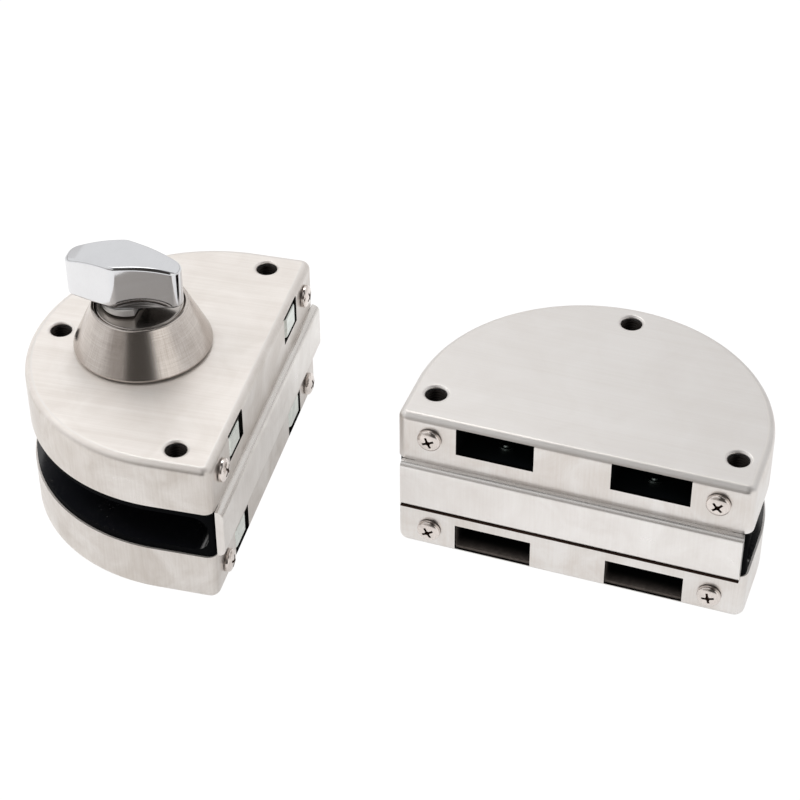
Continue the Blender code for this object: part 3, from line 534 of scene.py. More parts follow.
def even_shading(piece, sharp=40.0):
    """Flat faces stay flat beside their rounded edges."""
    piece.data.shade_smooth()
    piece.data.set_sharp_from_angle(angle=math.radians(sharp))
    weighted = piece.modifiers.new("even", "WEIGHTED_NORMAL")
    weighted.keep_sharp = True
    return piece


def bevelled(shape, geom, offset, segments, affect="EDGES"):
    bmesh.ops.bevel(shape, geom=geom, offset=offset, segments=segments, profile=0.5, affect=affect, material=-1)


def block(low, high):
    """A box between two corners."""
    low, high = Vector(low), Vector(high)
    shape = bmesh.new()
    bmesh.ops.create_cube(shape, size=1.0)
    bmesh.ops.scale(shape, vec=high - low, verts=shape.verts)
    bmesh.ops.translate(shape, vec=(low + high) / 2, verts=shape.verts)
    return shape


def rod(radius, low, high, steps=48):
    """An upright cylinder between two levels."""
    shape = bmesh.new()
    bmesh.ops.create_cone(shape, cap_ends=True, segments=steps, radius1=radius, radius2=radius, depth=high - low)
    bmesh.ops.translate(shape, vec=(0.0, 0.0, (low + high) / 2), verts=shape.verts)
    return shape


def lathe(profile, steps=96):
    """A closed body spun from (radius, level) points about the upright axis."""
    shape = bmesh.new()
    verts = [shape.verts.new((radius, 0.0, level)) for radius, level in profile]
    edges = [shape.edges.new(pair) for pair in zip(verts, verts[1:])]
    bmesh.ops.spin(shape, geom=verts + edges, cent=(0, 0, 0), axis=(0, 0, 1), angle=2 * math.pi,
                   steps=steps, use_merge=True)
    bmesh.ops.remove_doubles(shape, verts=shape.verts, dist=WELD)
    bmesh.ops.recalc_face_normals(shape, faces=shape.faces)
    return shape


def arc(x, y, radius, start, end, steps):
    return [(x + radius * math.cos(start + (end - start) * step / steps),
             y + radius * math.sin(start + (end - start) * step / steps)) for step in range(steps + 1)]


def d_face(inset, front, level, arc_steps=96, corner_steps=8):
    """The case's plan as one flat face: a spun half circle closed by two rounded corners."""
    half = HALF_WIDTH - inset
    shape = bmesh.new()
    start = shape.verts.new((half, CASE_SIDE, level))
    bmesh.ops.spin(shape, geom=[start], cent=(0, CASE_SIDE, level), axis=(0, 0, 1), angle=math.pi, steps=arc_steps)
    shape.verts.ensure_lookup_table()
    end = min(shape.verts, key=lambda vert: (vert.co - Vector((-half, CASE_SIDE, level))).length)
    left = shape.verts.new((-half, front, level))
    right = shape.verts.new((half, front, level))
    for pair in ((end, left), (left, right), (right, start)):
        shape.edges.new(pair)
    corner = max(CORNER_RADIUS - inset, 0.5 * MM)
    bevelled(shape, [left, right], corner, corner_steps, "VERTICES")
    bmesh.ops.contextual_create(shape, geom=shape.edges)
    bmesh.ops.recalc_face_normals(shape, faces=shape.faces)
    if shape.faces[:][0].normal.z < 0:
        bmesh.ops.reverse_faces(shape, faces=shape.faces)
    return shape


def extruded(shape, reach):
    """Extrudes every face of a flat shape and leaves a closed body."""
    faces = shape.faces[:]
    made = bmesh.ops.extrude_face_region(shape, geom=faces)
    moved = [item for item in made["geom"] if isinstance(item, bmesh.types.BMVert)]
    bmesh.ops.translate(shape, vec=reach, verts=moved)
    bmesh.ops.recalc_face_normals(shape, faces=shape.faces)
    return shape


def bar(upper, half_length):
    """A bar along X, its section given by the (y, z) points of its upper half."""
    shape = bmesh.new()
    section = upper + [(y, -z) for y, z in reversed(upper)]
    verts = [shape.verts.new((-half_length, y, z)) for y, z in section]
    shape.faces.new(verts)
    return extruded(shape, (2 * half_length, 0.0, 0.0))


# Covers

def dimple(x, y):
    """A cutter that opens an access hole with a soft rolled-in lip."""
    steps = 10
    spread = DIMPLE_RADIUS - ACCESS_RADIUS
    lip = [(ACCESS_RADIUS + spread * (1 - math.cos(QUARTER * step / steps)),
            COVER_TOP - DIMPLE_DEPTH * (1 - math.sin(QUARTER * step / steps))) for step in range(steps + 1)]
    profile = [(0.0, COVER_TOP - 3 * COVER_WALL), (ACCESS_RADIUS, COVER_TOP - 3 * COVER_WALL)] + lip
    profile += [(DIMPLE_RADIUS, COVER_TOP + COVER_WALL), (0.0, COVER_TOP + COVER_WALL)]
    return lathe(profile, 64), Matrix.Translation((x, y, 0.00002))


def window_tool(side, width):
    low, high = sorted((side * (WINDOW_OUTER - width), side * WINDOW_OUTER))
    return block((low, -COVER_WALL, WINDOW_BASE), (high, 2 * COVER_WALL + RIM_RADIUS, WINDOW_TOP)), FRONT


def screw_axis(side, depth=0.0):
    """Where a cover screw stands, its head towards the flat side."""
    return Matrix.Translation((side * SCREW_X, depth, SCREW_LEVEL)) @ Matrix.Rotation(QUARTER, 4, "X")


def screw_tool(side):
    return rod(SCREW_HOLE, -2 * COVER_WALL, 2 * COVER_WALL), screw_axis(side)


def cover(name, half, case, window_width, access, seat, finish):
    """A pressed cover: D-shaped top, rolled rim, thin wall, windows and holes."""
    shape = d_face(0.0, 0.0, COVER_TOP)
    top = shape.faces[:][0]
    made = bmesh.ops.extrude_face_region(shape, geom=[top], use_keep_orig=True)
    moved = [item for item in made["geom"] if isinstance(item, bmesh.types.BMVert)]
    bmesh.ops.translate(shape, vec=(0.0, 0.0, COVER_EDGE - EDGE_DROP - COVER_TOP), verts=moved)
    floor = [face for face in shape.faces if all(vert.co.z < COVER_TOP - COVER_WALL for vert in face.verts)]
    bmesh.ops.delete(shape, geom=floor, context="FACES_ONLY")
    rim = [edge for edge in shape.edges if all(vert.co.z > COVER_TOP - COVER_WALL for vert in edge.verts)]
    bevelled(shape, rim, RIM_RADIUS, 8)
    bmesh.ops.recalc_face_normals(shape, faces=shape.faces)
    flat = max(shape.faces, key=lambda face: face.calc_area() if abs(face.normal.z) > 0.9 else 0.0)
    if flat.normal.z < 0:
        bmesh.ops.reverse_faces(shape, faces=shape.faces)
    piece = to_piece(name, shape, HERE, finish)
    wall = piece.modifiers.new("wall", "SOLIDIFY")
    wall.thickness = COVER_WALL
    wall.offset = -1.0
    wall.use_even_offset = True
    settle(piece)
    # The windows' cut faces take the near-black finish, which is painted shade
    carved(piece, [window_tool(side, window_width) for side in (-1, 1)], finish=window_edge_shade)
    tools = [screw_tool(side) for side in (-1, 1)]
    if access:
        tools += [dimple(x, y) for x, y in ACCESS_PLACES]
    if seat:
        tools.append((rod(CYLINDER_SEAT, COVER_TOP - 2 * COVER_WALL, COVER_TOP + COVER_WALL, 96),
                      Matrix.Translation((0.0, CYLINDER_Y, 0.0))))
    carved(piece, tools)
    piece.data.transform(case @ half)
    even_shading(piece)
    return piece


def fitted(piece, slot, body, *nodes):
    """A finished piece takes its body and the nodes that it stands for. Its slot is not used."""
    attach(piece, body)
    if nodes:
        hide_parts(*nodes)
    return piece


for prefix, case, width, seat, steel in (("lock", LOCK, LOCK_WINDOW_WIDTH, True, lock_steel),
                                         ("keeper", KEEPER, KEEPER_WINDOW_WIDTH, False, keeper_steel)):
    for half_name, half, _ in HALVES:
        front = half_name == "front"
        shell = cover(f"{prefix}_{half_name}_shell", half, case, width, front, seat and front, steel)
        fitted(shell, "cover_steel", "case", f"{prefix}_{half_name}_cover")


# Edge channels

def edge_channel(name, case, window_width, margin, shoulder, finish):
    """The hat section with rounded shoulders, its flanges cut round the windows and screws."""
    front = -CHANNEL_PROUD
    inner = LINER_TOP - CHANNEL_RETURN
    flange_top = COVER_TOP - 1.85 * MM
    upper = arc(front + shoulder, LINER_TOP - shoulder, shoulder, math.pi, QUARTER, 12)
    upper += [(FLANGE_FRONT, LINER_TOP), (FLANGE_FRONT, flange_top), (FLANGE_BACK, flange_top),
              (FLANGE_BACK, inner), (CHANNEL_WEB - CHANNEL_PROUD, inner)]
    piece = to_piece(name, bar(upper, channel_high.x), FRONT, finish)
    tools = []
    for side in (-1, 1):
        low, high = sorted((side * FLANGE_END, side * (HALF_WIDTH + COVER_WALL)))
        end = block((low, CHANNEL_WEB - CHANNEL_PROUD, -COVER_TOP), (high, FLANGE_BACK + COVER_WALL, COVER_TOP))
        tools.append((end, FRONT))
        for half in (FRONT, REAR):
            low, high = sorted((side * (WINDOW_OUTER - window_width - margin), side * (WINDOW_OUTER + margin)))
            tools.append((block((low, FLANGE_FRONT - COVER_WALL / 2, WINDOW_BASE - margin),
                                (high, FLANGE_BACK + COVER_WALL, COVER_TOP)), half))
            tools.append((rod(SCREW_HOLE, -3 * COVER_WALL, COVER_WALL), half @ screw_axis(side, FLANGE_FRONT)))
    carved(piece, tools)
    piece.data.transform(case)
    even_shading(piece)
    return piece


fitted(edge_channel("lock_band", LOCK, LOCK_WINDOW_WIDTH, 0.3 * MM, LOCK_SHOULDER, lock_channel_steel),
       "channel_steel", "case", "lock_edge_channel")
fitted(edge_channel("keeper_band", KEEPER, KEEPER_WINDOW_WIDTH, 1.1 * MM, KEEPER_SHOULDER, keeper_channel_steel),
       "channel_steel", "case", "keeper_edge_channel")


# Glass liners

def glass_liner(name, case, sleeve):
    """The rubber U of the glass slot with a concave corner along its closed side."""
    back = CASE_DEPTH
    front = CHANNEL_WEB - CHANNEL_PROUD + CLEARANCE
    face = front + LINER_WALL
    ceiling = LINER_TOP - LINER_FLOOR
    upper = [(front, LINER_TOP), (back, LINER_TOP), (back, ceiling)]
    upper += arc(face + LINER_FILLET, ceiling - LINER_FILLET, LINER_FILLET, QUARTER, math.pi, 10)
    piece = to_piece(name, bar(upper, HALF_WIDTH), FRONT, liner_rubber)
    carved(piece, [(extruded(d_face(LINER_INSET, front, -COVER_TOP), (0.0, 0.0, 2 * COVER_TOP)), FRONT)],
           "INTERSECT", trimmed_rubber)
    relief = LINER_TOP - CHANNEL_RETURN - CLEARANCE
    tools = [(block((-FLANGE_END - CLEARANCE, front - COVER_WALL, relief),
                    (FLANGE_END + CLEARANCE, FLANGE_BACK + CLEARANCE, COVER_TOP)), half)
             for half in (FRONT, REAR)]
    if sleeve:
        tools.append((rod(SLEEVE_HOLE, -COVER_TOP, COVER_TOP, 64), Matrix.Translation((0.0, TURN_Y, 0.0))))
    carved(piece, tools)
    piece.data.transform(case)
    even_shading(piece)
    return piece


fitted(glass_liner("lock_liner", LOCK, True), "liner_rubber", "case", "lock_glass_liner")
fitted(glass_liner("keeper_liner", KEEPER, False), "liner_rubber", "case", "keeper_glass_liner")


def shade_line_strip(name, case):
    """A thin black strip under the keeper's band: painted shade that stands for the dark line there."""
    low, high = COVER_EDGE - EDGE_DROP - SHADE_LINE_HEIGHT, COVER_EDGE - EDGE_DROP + SHADE_LINE_HEIGHT
    shape = block((-channel_high.x, -SHADE_LINE_REACH, -high), (channel_high.x, COVER_WALL, -low))
    bevelled(shape, shape.edges[:], 0.1 * MM, 2)
    return to_piece(name, shape, case, shade_line_rubber)


fitted(shade_line_strip("keeper_band_shade_line", KEEPER), "liner_rubber", "case")


# Cover screws

def pan_head_screw(name, half, case, side, angle):
    """A pan head with a pressed cross recess, whose wings taper to the bottom."""
    head, depth, edge, shank, length = 3.5 * MM, 1.8 * MM, 0.6 * MM, 2.0 * MM, 6.5 * MM
    seat = 0.3 * MM
    top = seat + depth
    dome = [(head * math.sin(turn), seat + edge + (depth - edge) * math.cos(turn))
            for turn in (QUARTER * step / 12 for step in range(13))]
    profile = dome + [(head, seat), (shank, seat), (shank, -length), (0.0, -length)]
    piece = to_piece(name, lathe(profile, 48), HERE, nickel)
    tools = []
    for quarter in range(4):
        wing = block((-0.3 * MM, -0.42 * MM, top - 1.5 * MM), (2.35 * MM, 0.46 * MM, top + MM))
        for vert in wing.verts:
            if vert.co.z < top:
                vert.co.x *= 0.55
                vert.co.y *= 0.6
        tools.append((wing, Matrix.Rotation(angle + quarter * QUARTER, 4, "Z")))
    tools.append((rod(0.75 * MM, top - 1.7 * MM, top + MM, 16), Matrix.Rotation(0.2, 4, "Z")))
    carved(piece, tools, finish=recess_steel)
    piece.data.transform(case @ half @ screw_axis(side))
    even_shading(piece)
    return piece


SCREW_ANGLES = {"lock_front_left": 35, "lock_front_right": 20, "lock_rear_left": 60, "lock_rear_right": 10,
                "keeper_front_left": 24, "keeper_front_right": 42, "keeper_rear_left": 30, "keeper_rear_right": 12}

for place, angle in SCREW_ANGLES.items():
    prefix, half_name, side_name = place.split("_")
    case = LOCK if prefix == "lock" else KEEPER
    half = FRONT if half_name == "front" else REAR
    side = (-1 if side_name == "left" else 1) * (1 if half_name == "front" else -1)
    head = pan_head_screw(f"{place}_pan_head", half, case, side, math.radians(angle))
    fitted(head, "screw_nickel", "case", f"{prefix}_{half_name}_screw_{side_name}")


# Clamp screws and the threaded bores that they stand in

def grub_screw(name, case, x, y):
    """A grub screw: threaded flank, chamfered top and a hexagon socket."""
    radius, pitch = 3.0 * MM, 1.0 * MM
    low, high = grub_low.z - MIDDLE, grub_high.z - MIDDLE
    turns = int((high - low - 1.0 * MM) / pitch)
    flank = [(0.0, high), (radius - 0.7 * MM, high), (radius - 0.1 * MM, high - 0.5 * MM)]
    for turn in range(turns):
        level = high - 0.5 * MM - turn * pitch
        flank += [(radius - 0.45 * MM, level - 0.4 * pitch), (radius, level - 0.9 * pitch)]
    profile = flank + [(radius - 0.5 * MM, low), (0.0, low)]
    # The grub screw is near black: painted shade at the bottom of its hole
    piece = to_piece(name, lathe(profile, 40), HERE, black_steel)
    carved(piece, [(rod(1.75 * MM, high - 3.5 * MM, high + 1.0 * MM, 6), HERE)])
    piece.data.transform(case @ Matrix.Translation((x, y, 0.0)))
    return even_shading(piece, 30.0)


def threaded_bore(name, case, x, y):
    """The turns of thread that show inside an access hole, above the grub screw."""
    outer, inner, pitch = 3.25 * MM, 2.75 * MM, 0.9 * MM
    high = COVER_TOP - COVER_WALL - 0.35 * MM
    low = grub_high.z - MIDDLE + 0.2 * MM
    turns = int((high - low) / pitch)
    profile = [(outer, high)]
    for turn in range(turns):
        level = high - turn * pitch
        profile += [(inner, level - 0.45 * pitch), (outer - 0.05 * MM, level - pitch)]
    profile += [(outer, low - 0.01 * MM)]
    shape = lathe(profile + [profile[0]], 48)
    # The thread is near black: painted shade inside the access hole
    return to_piece(name, shape, case @ Matrix.Translation((x, y, 0.0)), black_steel, 30.0)


for prefix, case in (("lock", LOCK), ("keeper", KEEPER)):
    for number, (x, y) in enumerate(ACCESS_PLACES, 1):
        grub = grub_screw(f"{prefix}_grub_{number}", case, x, y)
        fitted(grub, "grub_steel", "case", f"{prefix}_clamp_screw_{number}")
        fitted(threaded_bore(f"{prefix}_bore_thread_{number}", case, x, y), "zinc_casting", "case")


# Bolts

def bolt_block(name, half, side):
    """A plated bolt with a bevelled nose and softened edges."""
    inner, outer = bolt_low.x, bolt_high.x
    low, high = sorted((side * inner, side * outer))
    front, back = bolt_low.y + TURN_Y, bolt_high.y + TURN_Y
    shape = block((low, front, bolt_low.z - MIDDLE), (high, back, bolt_high.z - MIDDLE))
    nose = [edge for edge in shape.edges if all(vert.co.y < front + 0.1 * MM for vert in edge.verts)]
    flanks = [edge for edge in nose if abs(edge.verts[0].co.x - edge.verts[1].co.x) < 0.1 * MM]
    bevelled(shape, flanks, 0.9 * MM, 1)
    nose = [edge for edge in shape.edges if all(vert.co.y < front + 0.1 * MM for vert in edge.verts)
            and abs(edge.verts[0].co.x - edge.verts[1].co.x) > MM]
    bevelled(shape, nose, 0.3 * MM, 1)
    bevelled(shape, shape.edges[:], 0.08 * MM, 2)
    piece = to_piece(name, shape, HERE, zinc)
    carriage_low, carriage_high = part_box("front_carriage")
    slot = block((low - COVER_WALL, back - 7.5 * MM, carriage_low.z - MIDDLE - CLEARANCE),
                 (high + COVER_WALL, back + COVER_WALL, carriage_high.z - MIDDLE + CLEARANCE))
    carved(piece, [(slot, HERE)])
    piece.data.transform(LOCK @ half)
    return even_shading(piece, 25.0)


for half_name, half, right in HALVES:
    for side_name, side in (("left", -right), ("right", right)):
        plated_bolt = bolt_block(f"{half_name}_{side_name}_bolt_block", half, side)
        fitted(plated_bolt, "bolt_zinc", f"{half_name}_bolts", f"{half_name}_bolt_{side_name}")


# Pockets behind the keeper's windows

def pocket_cup(name, half, side, finish):
    """A moulded cup behind a window, its corners softened."""
    back = POCKET_DEPTH - POCKET_WALL
    low, high = sorted((side * (WINDOW_OUTER - KEEPER_WINDOW_WIDTH), side * WINDOW_OUTER))
    front = COVER_WALL + 0.02 * MM
    top = WINDOW_TOP - WINDOW_HEADROOM
    shape = block((low - POCKET_WALL, front, WINDOW_BASE - POCKET_WALL),
                  (high + POCKET_WALL, POCKET_DEPTH, top + POCKET_WALL))
    piece = to_piece(name, shape, HERE, finish)
    hollow = block((low, -COVER_WALL, WINDOW_BASE), (high, back, top))
    deep = [edge for edge in hollow.edges if any(vert.co.y > COVER_WALL for vert in edge.verts)]
    bevelled(hollow, deep, 0.8 * MM, 4)
    carved(piece, [(hollow, HERE)])
    piece.data.transform(KEEPER @ half)
    return even_shading(piece)


def stud_end(name, x, y):
    """The rounded end of a stud that shows inside a front pocket."""
    radius, rise = 2.6 * MM, 1.4 * MM
    profile = [(0.0, rise), (1.2 * MM, rise), (1.5 * MM, rise - 0.3 * MM), (2.2 * MM, rise - 0.3 * MM),
               (radius, rise - 0.6 * MM), (radius, -0.1 * MM), (0.0, -0.1 * MM)]
    piece = to_piece(name, lathe(profile, 32), KEEPER @ Matrix.Translation((x, y, WINDOW_BASE)), stud_steel)
    return even_shading(piece, 30.0)


for half_name, half, right in HALVES:
    for side_name, side in (("left", -right), ("right", right)):
        finish = pocket_plastic if half_name == "front" else mouth_lit_plastic
        cup = pocket_cup(f"{half_name}_{side_name}_pocket_cup", half, side, finish)
        fitted(cup, "pocket_plastic", "case", f"keeper_{half_name}_pocket_{side_name}")
for side_name, x in STUD_PLACES:
    fitted(stud_end(f"front_{side_name}_stud_end", x, STUD_DEPTH), "screw_nickel", "case")


# Cone, cylinder and knob

def escutcheon():
    """The turned cone: rounded foot and rim, straight flank, bore for the cylinder."""
    base, top = cone_low.z - MIDDLE, CONE_TOP
    foot = (cone_high.x - cone_low.x) / 2
    rim, bore = foot - 6.0 * MM, CYLINDER_SEAT
    mouth, brow, sole, slope = 0.35 * MM, 0.55 * MM, 0.8 * MM, math.radians(22)
    profile = [(bore, top - mouth)] + arc(bore + mouth, top - mouth, mouth, math.pi, QUARTER, 5)[1:]
    profile += arc(rim - brow, top - brow, brow, QUARTER, slope, 6)
    profile += arc(foot - sole, base + sole, sole, slope, -QUARTER, 10)
    profile += [(bore, base), profile[0]]
    piece = to_piece("cone_shell", lathe(profile, 128), LOCK @ Matrix.Translation((0.0, CYLINDER_Y, 0.0)),
                     cone_steel)
    return even_shading(piece, 50.0)


def cylinder_core():
    """The cylinder under the knob: a raised lip round a dished face, bored for the plug."""
    top = CONE_TOP - 0.9 * MM
    lip = CONE_TOP - 0.3 * MM
    radius, flange = 13.0 * MM, 16.5 * MM
    low, shoulder = cylinder_low.z - MIDDLE, COVER_TOP - COVER_WALL - 0.3 * MM
    profile = [(0.0, top - 0.25 * MM), (radius - 3.2 * MM, top - 0.2 * MM), (radius - 1.5 * MM, top),
               (radius - 1.1 * MM, top + 0.1 * MM)]
    profile += arc(radius - 0.45 * MM, lip - 0.3 * MM, 0.3 * MM, math.pi, 0.0, 10)
    profile += [(radius, lip - 0.45 * MM), (radius, shoulder), (flange, shoulder), (flange, low), (0.0, low)]
    piece = to_piece("cylinder_core", lathe(profile, 96), Matrix.Translation((0.0, CYLINDER_Y, 0.0)),
                     cylinder_steel)
    carved(piece, [(rod(5.3 * MM, low - COVER_WALL, lip + COVER_WALL, 64), Matrix.Translation((0.0, TURN_Y, 0.0)))])
    piece.data.transform(LOCK)
    return even_shading(piece, 40.0)


KNOB_HALF_WIDTH = 7.8 * MM
KNOB_WIDEST = 1.3 * MM
KNOB_HEEL = 17.5 * MM
KNOB_HEEL_HALF = 3.4 * MM
KNOB_TOE = 17.2 * MM
KNOB_TOE_HALF = 2.7 * MM
KNOB_CROWN = 2.5 * MM
CROWN_START = 3.2 * MM
CROWN_END = 14.0 * MM
COLLAR_RADIUS = 7.6 * MM
COLLAR_FLAT = 4.2 * MM
COLLAR_HEIGHT = 2.3 * MM


def wing_knob():
    """The knob: a six-sided plan with soft corners, crowned top and rolled edges, on its collar."""
    base = knob_low.z + COLLAR_HEIGHT - MIDDLE
    top = knob_high.z - MIDDLE
    shape = bmesh.new()
    corners = ((KNOB_HALF_WIDTH, KNOB_WIDEST), (KNOB_HEEL_HALF, KNOB_HEEL), (-KNOB_HEEL_HALF, KNOB_HEEL),
               (-KNOB_HALF_WIDTH, KNOB_WIDEST), (-KNOB_TOE_HALF, -KNOB_TOE), (KNOB_TOE_HALF, -KNOB_TOE))
    verts = [shape.verts.new((x, y, base)) for x, y in corners]
    shape.faces.new(verts)
    ends = [vert for vert in verts if abs(vert.co.y) > KNOB_HALF_WIDTH]
    bevelled(shape, ends, 2.4 * MM, 10, "VERTICES")
    sides = [vert for vert in shape.verts if abs(abs(vert.co.x) - KNOB_HALF_WIDTH) < 0.01 * MM]
    bevelled(shape, sides, 1.2 * MM, 5, "VERTICES")
    extruded(shape, (0.0, 0.0, top - base))
    steps = 16
    stations = [CROWN_START + (CROWN_END - CROWN_START) * step / steps for step in range(steps + 1)]
    for station in [-place for place in stations] + stations:
        everything = shape.verts[:] + shape.edges[:] + shape.faces[:]
        bmesh.ops.bisect_plane(shape, geom=everything, dist=WELD, plane_co=(0, station, 0), plane_no=(0, 1, 0))
    edges = [edge for edge in shape.edges
             if len(edge.link_faces) == 2 and edge.calc_face_angle(0.0) > math.radians(60)]
    bevelled(shape, edges, 0.95 * MM, 6)
    crown = KNOB_CROWN / ((CROWN_END - CROWN_START) * (2 * KNOB_HEEL - CROWN_START - CROWN_END))
    for vert in shape.verts:
        if vert.co.z > (base + top) / 2:
            out = abs(vert.co.y)
            bend = min(max(out - CROWN_START, 0.0), CROWN_END - CROWN_START)
            vert.co.z -= crown * (bend ** 2 + 2 * bend * max(out - CROWN_END, 0.0))
    piece = to_piece("wing_knob", shape, HERE, chrome)
    even_shading(piece, 45.0)
    settle(piece)
    # The faces that look down take the near-black finish: painted shade under the knob
    piece.data.materials.append(knob_underside_shade)
    for face in piece.data.polygons:
        if face.normal.z < -0.9:
            face.material_index = 1
    piece.data.transform(Matrix.Translation((0.0, 0.0, MIDDLE)))
    return piece


def knob_collar():
    """The round collar under the knob, with a flat on one side."""
    low, high = knob_low.z - MIDDLE, knob_low.z + COLLAR_HEIGHT - MIDDLE
    profile = [(0.0, high - 0.05 * MM), (COLLAR_RADIUS, high - 0.05 * MM), (COLLAR_RADIUS, low + 0.3 * MM),
               (COLLAR_RADIUS - 0.3 * MM, low), (0.0, low)]
    piece = to_piece("knob_collar", lathe(profile, 72), HERE, collar_steel)
    wide = 2 * COLLAR_RADIUS
    side = block((-wide, -wide, low - COVER_WALL), (wide, -COLLAR_FLAT, high + COVER_WALL))
    carved(piece, [(side, HERE)])
    piece.data.transform(Matrix.Translation((0.0, 0.0, MIDDLE)))
    return even_shading(piece, 30.0)


fitted(escutcheon(), "cone_steel", "case", "escutcheon_cone")
fitted(cylinder_core(), "cylinder_steel", "case", "cylinder_body")
fitted(wing_knob(), "knob_chrome", "turning", "knob")
fitted(knob_collar(), "knob_chrome", "turning")


# Finishes of the nodes that keep their own solids

NODE_FINISHES = {
    "lock_front_chassis": casting, "lock_rear_chassis": casting,
    "keeper_front_chassis": casting, "keeper_rear_chassis": casting,
    "lock_pressure_plate": plain_steel, "keeper_pressure_plate": plain_steel,
    "spindle": plain_steel, "spindle_circlip": plain_steel, "spindle_sleeve": sleeve_nylon,
    "front_cam": plain_steel, "rear_cam": plain_steel,
    "front_carriage": plain_steel, "rear_carriage": plain_steel,
}
for node, finish in NODE_FINISHES.items():
    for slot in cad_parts[node].material_slots:
        slot.material = finish


# Stage, light and camera

FLOOR_GLOW = 0.94
FLOOR_MIRRORED = 0.68
FLOOR_WHITE = 1.06
FLOOR_DROP = 0.5 * MM
ROOM_LIGHT = 0.52
ROOM_MIRRORED = (0.86, 0.855, 0.85)
SKIRTING_COLOR = (0.42, 0.40, 0.39)
CEILING_COLOR = (0.07, 0.067, 0.065)
SKIRTING_LOW = math.sin(math.radians(9))
SKIRTING_FULL = math.sin(math.radians(12))
SKIRTING_FADE = math.sin(math.radians(15))
SKIRTING_HIGH = math.sin(math.radians(20))
CEILING_START = math.sin(math.radians(66))
CEILING_FULL = math.sin(math.radians(74))
# Azimuth, rise, slimness, heart and edge of each patch, with its colour
ROOM_PATCHES = (
    (158, 14, 0.7, 6, 34, (0.40, 0.38, 0.365)),
    (224, 41, 1.0, 27, 41, (0.04, 0.037, 0.035)),
    (238, 15, 0.7, 10, 24, (1.08, 1.06, 1.03)),
    (191, 12, 0.7, 17, 27, (0.06, 0.055, 0.05)),
)
# Place, radius and brightness of each patch on the floor as the steel mirrors it: painted shade in the darker ones,
# painted light in the brighter one
FLOOR_LIGHT_AND_SHADE = (
    (12 * MM, -45 * MM, 60 * MM, 0.48),
    (112 * MM, -62 * MM, 75 * MM, 0.92),
    (-66 * MM, 100 * MM, 85 * MM, 0.54),
    (-52 * MM, -75 * MM, 45 * MM, 0.50),
)


def room_patch(tree, direction, azimuth, rise, slim, heart, edge):
    """A soft oval on the room's wall, its angles in degrees; slim below 1 stretches it upright."""
    azimuth, rise, heart, edge = (math.radians(angle) for angle in (azimuth, rise, heart, edge))
    squeezed = vector_math(tree, "MULTIPLY", direction, (1.0, 1.0, slim))["Vector"]
    unit = vector_math(tree, "NORMALIZE", squeezed)["Vector"]
    centre = Vector((math.cos(azimuth), math.sin(azimuth), slim * math.tan(rise))).normalized()
    return smoothly(tree, vector_math(tree, "DOT_PRODUCT", unit, centre)["Value"], math.cos(edge), math.cos(heart))


def floor_level(tree):
    """How bright the floor is in the steel, with soft patches of painted shade and painted light."""
    place = tree.nodes.new("ShaderNodeNewGeometry").outputs["Position"]
    level = FLOOR_MIRRORED
    for x, y, radius, bright in FLOOR_LIGHT_AND_SHADE:
        reach = vector_math(tree, "DISTANCE", place, (x, y, 0.0))["Value"]
        share = smoothly(tree, reach, radius, 0.25 * radius)
        level = computed(tree, "ADD", computed(tree, "MULTIPLY", computed(tree, "SUBTRACT", 1.0, share), level),
                         computed(tree, "MULTIPLY", share, bright))
    return level


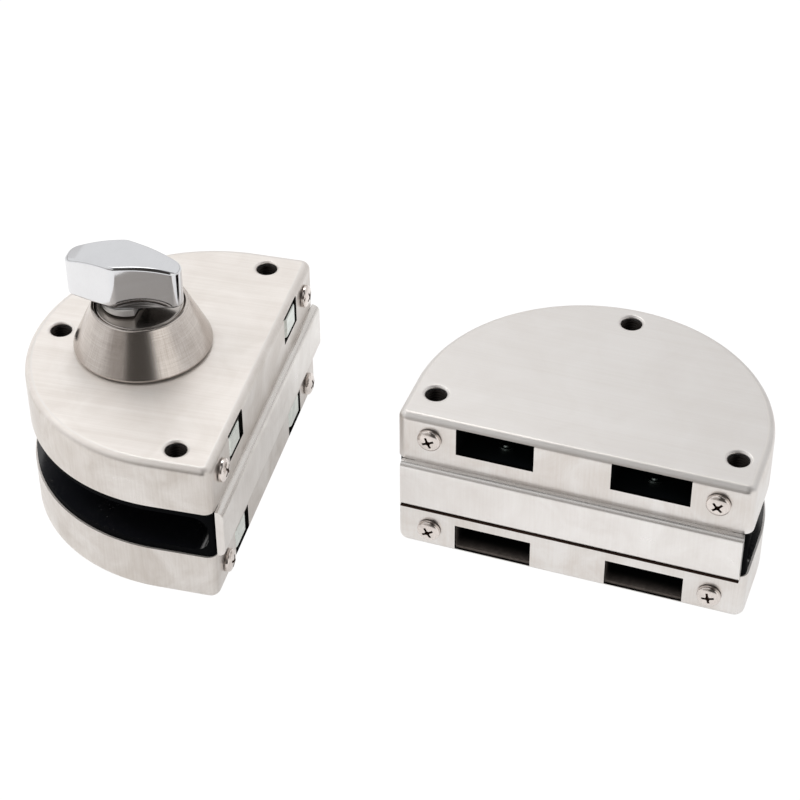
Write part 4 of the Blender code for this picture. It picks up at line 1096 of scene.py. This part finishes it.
def studio():
    """A white floor that keeps the shadow, and a white room with soft light and dark patches on its walls."""
    shape = bmesh.new()
    bmesh.ops.create_grid(shape, x_segments=1, y_segments=1, size=3.0)
    floor_mesh = bpy.data.meshes.new("floor")
    shape.to_mesh(floor_mesh)
    shape.free()
    floor = linked("floor", floor_mesh)
    floor.location.z = -FLOOR_DROP
    floor_material, tree, paper = material("floor_white", (0.90, 0.875, 0.85), 0.0, 0.9)
    white = tree.nodes.new("ShaderNodeEmission")
    white.inputs["Strength"].default_value = FLOOR_WHITE
    seen, mirroring = ray_kinds(tree)
    direct = computed(tree, "MULTIPLY", seen, FLOOR_GLOW)
    glow = computed(tree, "ADD", direct, computed(tree, "MULTIPLY", mirroring, floor_level(tree)))
    tree.links.new(mixed(tree, glow, paper.outputs["BSDF"], white.outputs["Emission"]),
                   tree.nodes["Material Output"].inputs["Surface"])
    floor_mesh.materials.append(floor_material)

    world = bpy.data.worlds.new("studio")
    bpy.context.scene.world = world
    world.use_nodes = True
    tree = world.node_tree
    soft = tree.nodes["Background"]
    soft.inputs["Color"].default_value = (1.0, 0.985, 0.97, 1.0)
    soft.inputs["Strength"].default_value = ROOM_LIGHT
    backdrop = tree.nodes.new("ShaderNodeBackground")
    backdrop.inputs["Strength"].default_value = 1.0
    mirrored = tree.nodes.new("ShaderNodeBackground")
    mirrored.inputs["Strength"].default_value = 1.0
    direction = tree.nodes.new("ShaderNodeTexCoord").outputs["Generated"]
    height = components(tree, direction)["Z"]
    skirting = computed(tree, "MULTIPLY", between(tree, height, 0.0, 1.0, SKIRTING_LOW, SKIRTING_FULL),
                        between(tree, height, 1.0, 0.0, SKIRTING_FADE, SKIRTING_HIGH))
    walls = blended(tree, skirting, ROOM_MIRRORED, SKIRTING_COLOR)
    ceiling = between(tree, height, 0.0, 1.0, CEILING_START, CEILING_FULL)
    walls = blended(tree, ceiling, walls, CEILING_COLOR)
    for *oval, color in ROOM_PATCHES:
        walls = blended(tree, room_patch(tree, direction, *oval), walls, color)
    tree.links.new(walls, mirrored.inputs["Color"])
    seen, mirroring = ray_kinds(tree)
    room = mixed(tree, mirroring, soft.outputs["Background"], mirrored.outputs["Background"])
    tree.links.new(mixed(tree, seen, room, backdrop.outputs["Background"]),
                   tree.nodes["World Output"].inputs["Surface"])


def lamp(name, place, aim, size, power, mirrored):
    """A square lamp that fades out towards its border."""
    light = bpy.data.lights.new(name, "AREA")
    light.shape = "RECTANGLE"
    light.size, light.size_y = size
    light.energy = power
    light.color = (1.0, 0.985, 0.965)
    light.use_nodes = True
    tree = light.node_tree
    spot = tree.nodes.new("ShaderNodeNewGeometry").outputs["Parametric"]
    reach = vector_math(tree, "DISTANCE", spot, (0.5, 0.5, 0.0))["Value"]
    tree.links.new(smoothly(tree, reach, 0.5, 0.22), tree.nodes["Emission"].inputs["Strength"])
    holder = linked(name, light)
    holder.location = place
    holder.rotation_euler = (Vector(aim) - Vector(place)).to_track_quat("-Z", "Y").to_euler()
    holder.visible_glossy = mirrored


def camera():
    data = bpy.data.cameras.new("camera")
    data.lens = LENS
    data.sensor_width = 36.0
    data.clip_start = 0.01
    data.clip_end = 20.0
    holder = linked("camera", data)
    holder.matrix_world = (Matrix.Translation(CAMERA_PLACE)
                           @ Matrix.Rotation(math.radians(-CAMERA_AZIMUTH), 4, "Z")
                           @ Matrix.Rotation(math.radians(90.0 - CAMERA_PITCH), 4, "X")
                           @ Matrix.Rotation(math.radians(CAMERA_ROLL), 4, "Z"))
    bpy.context.scene.camera = holder


studio()
lamp("overhead_soft", (0.36, 0.10, 0.74), (0.0, -0.02, 0.0), (0.45, 0.45), 1.42, True)
lamp("window_soft", (-0.03, 0.22, 0.32), (-0.01, 0.02, 0.05), (0.30, 0.30), 2.4, False)
camera()
bpy.context.scene.view_settings.view_transform = "Standard"

bpy.context.view_layer.update()
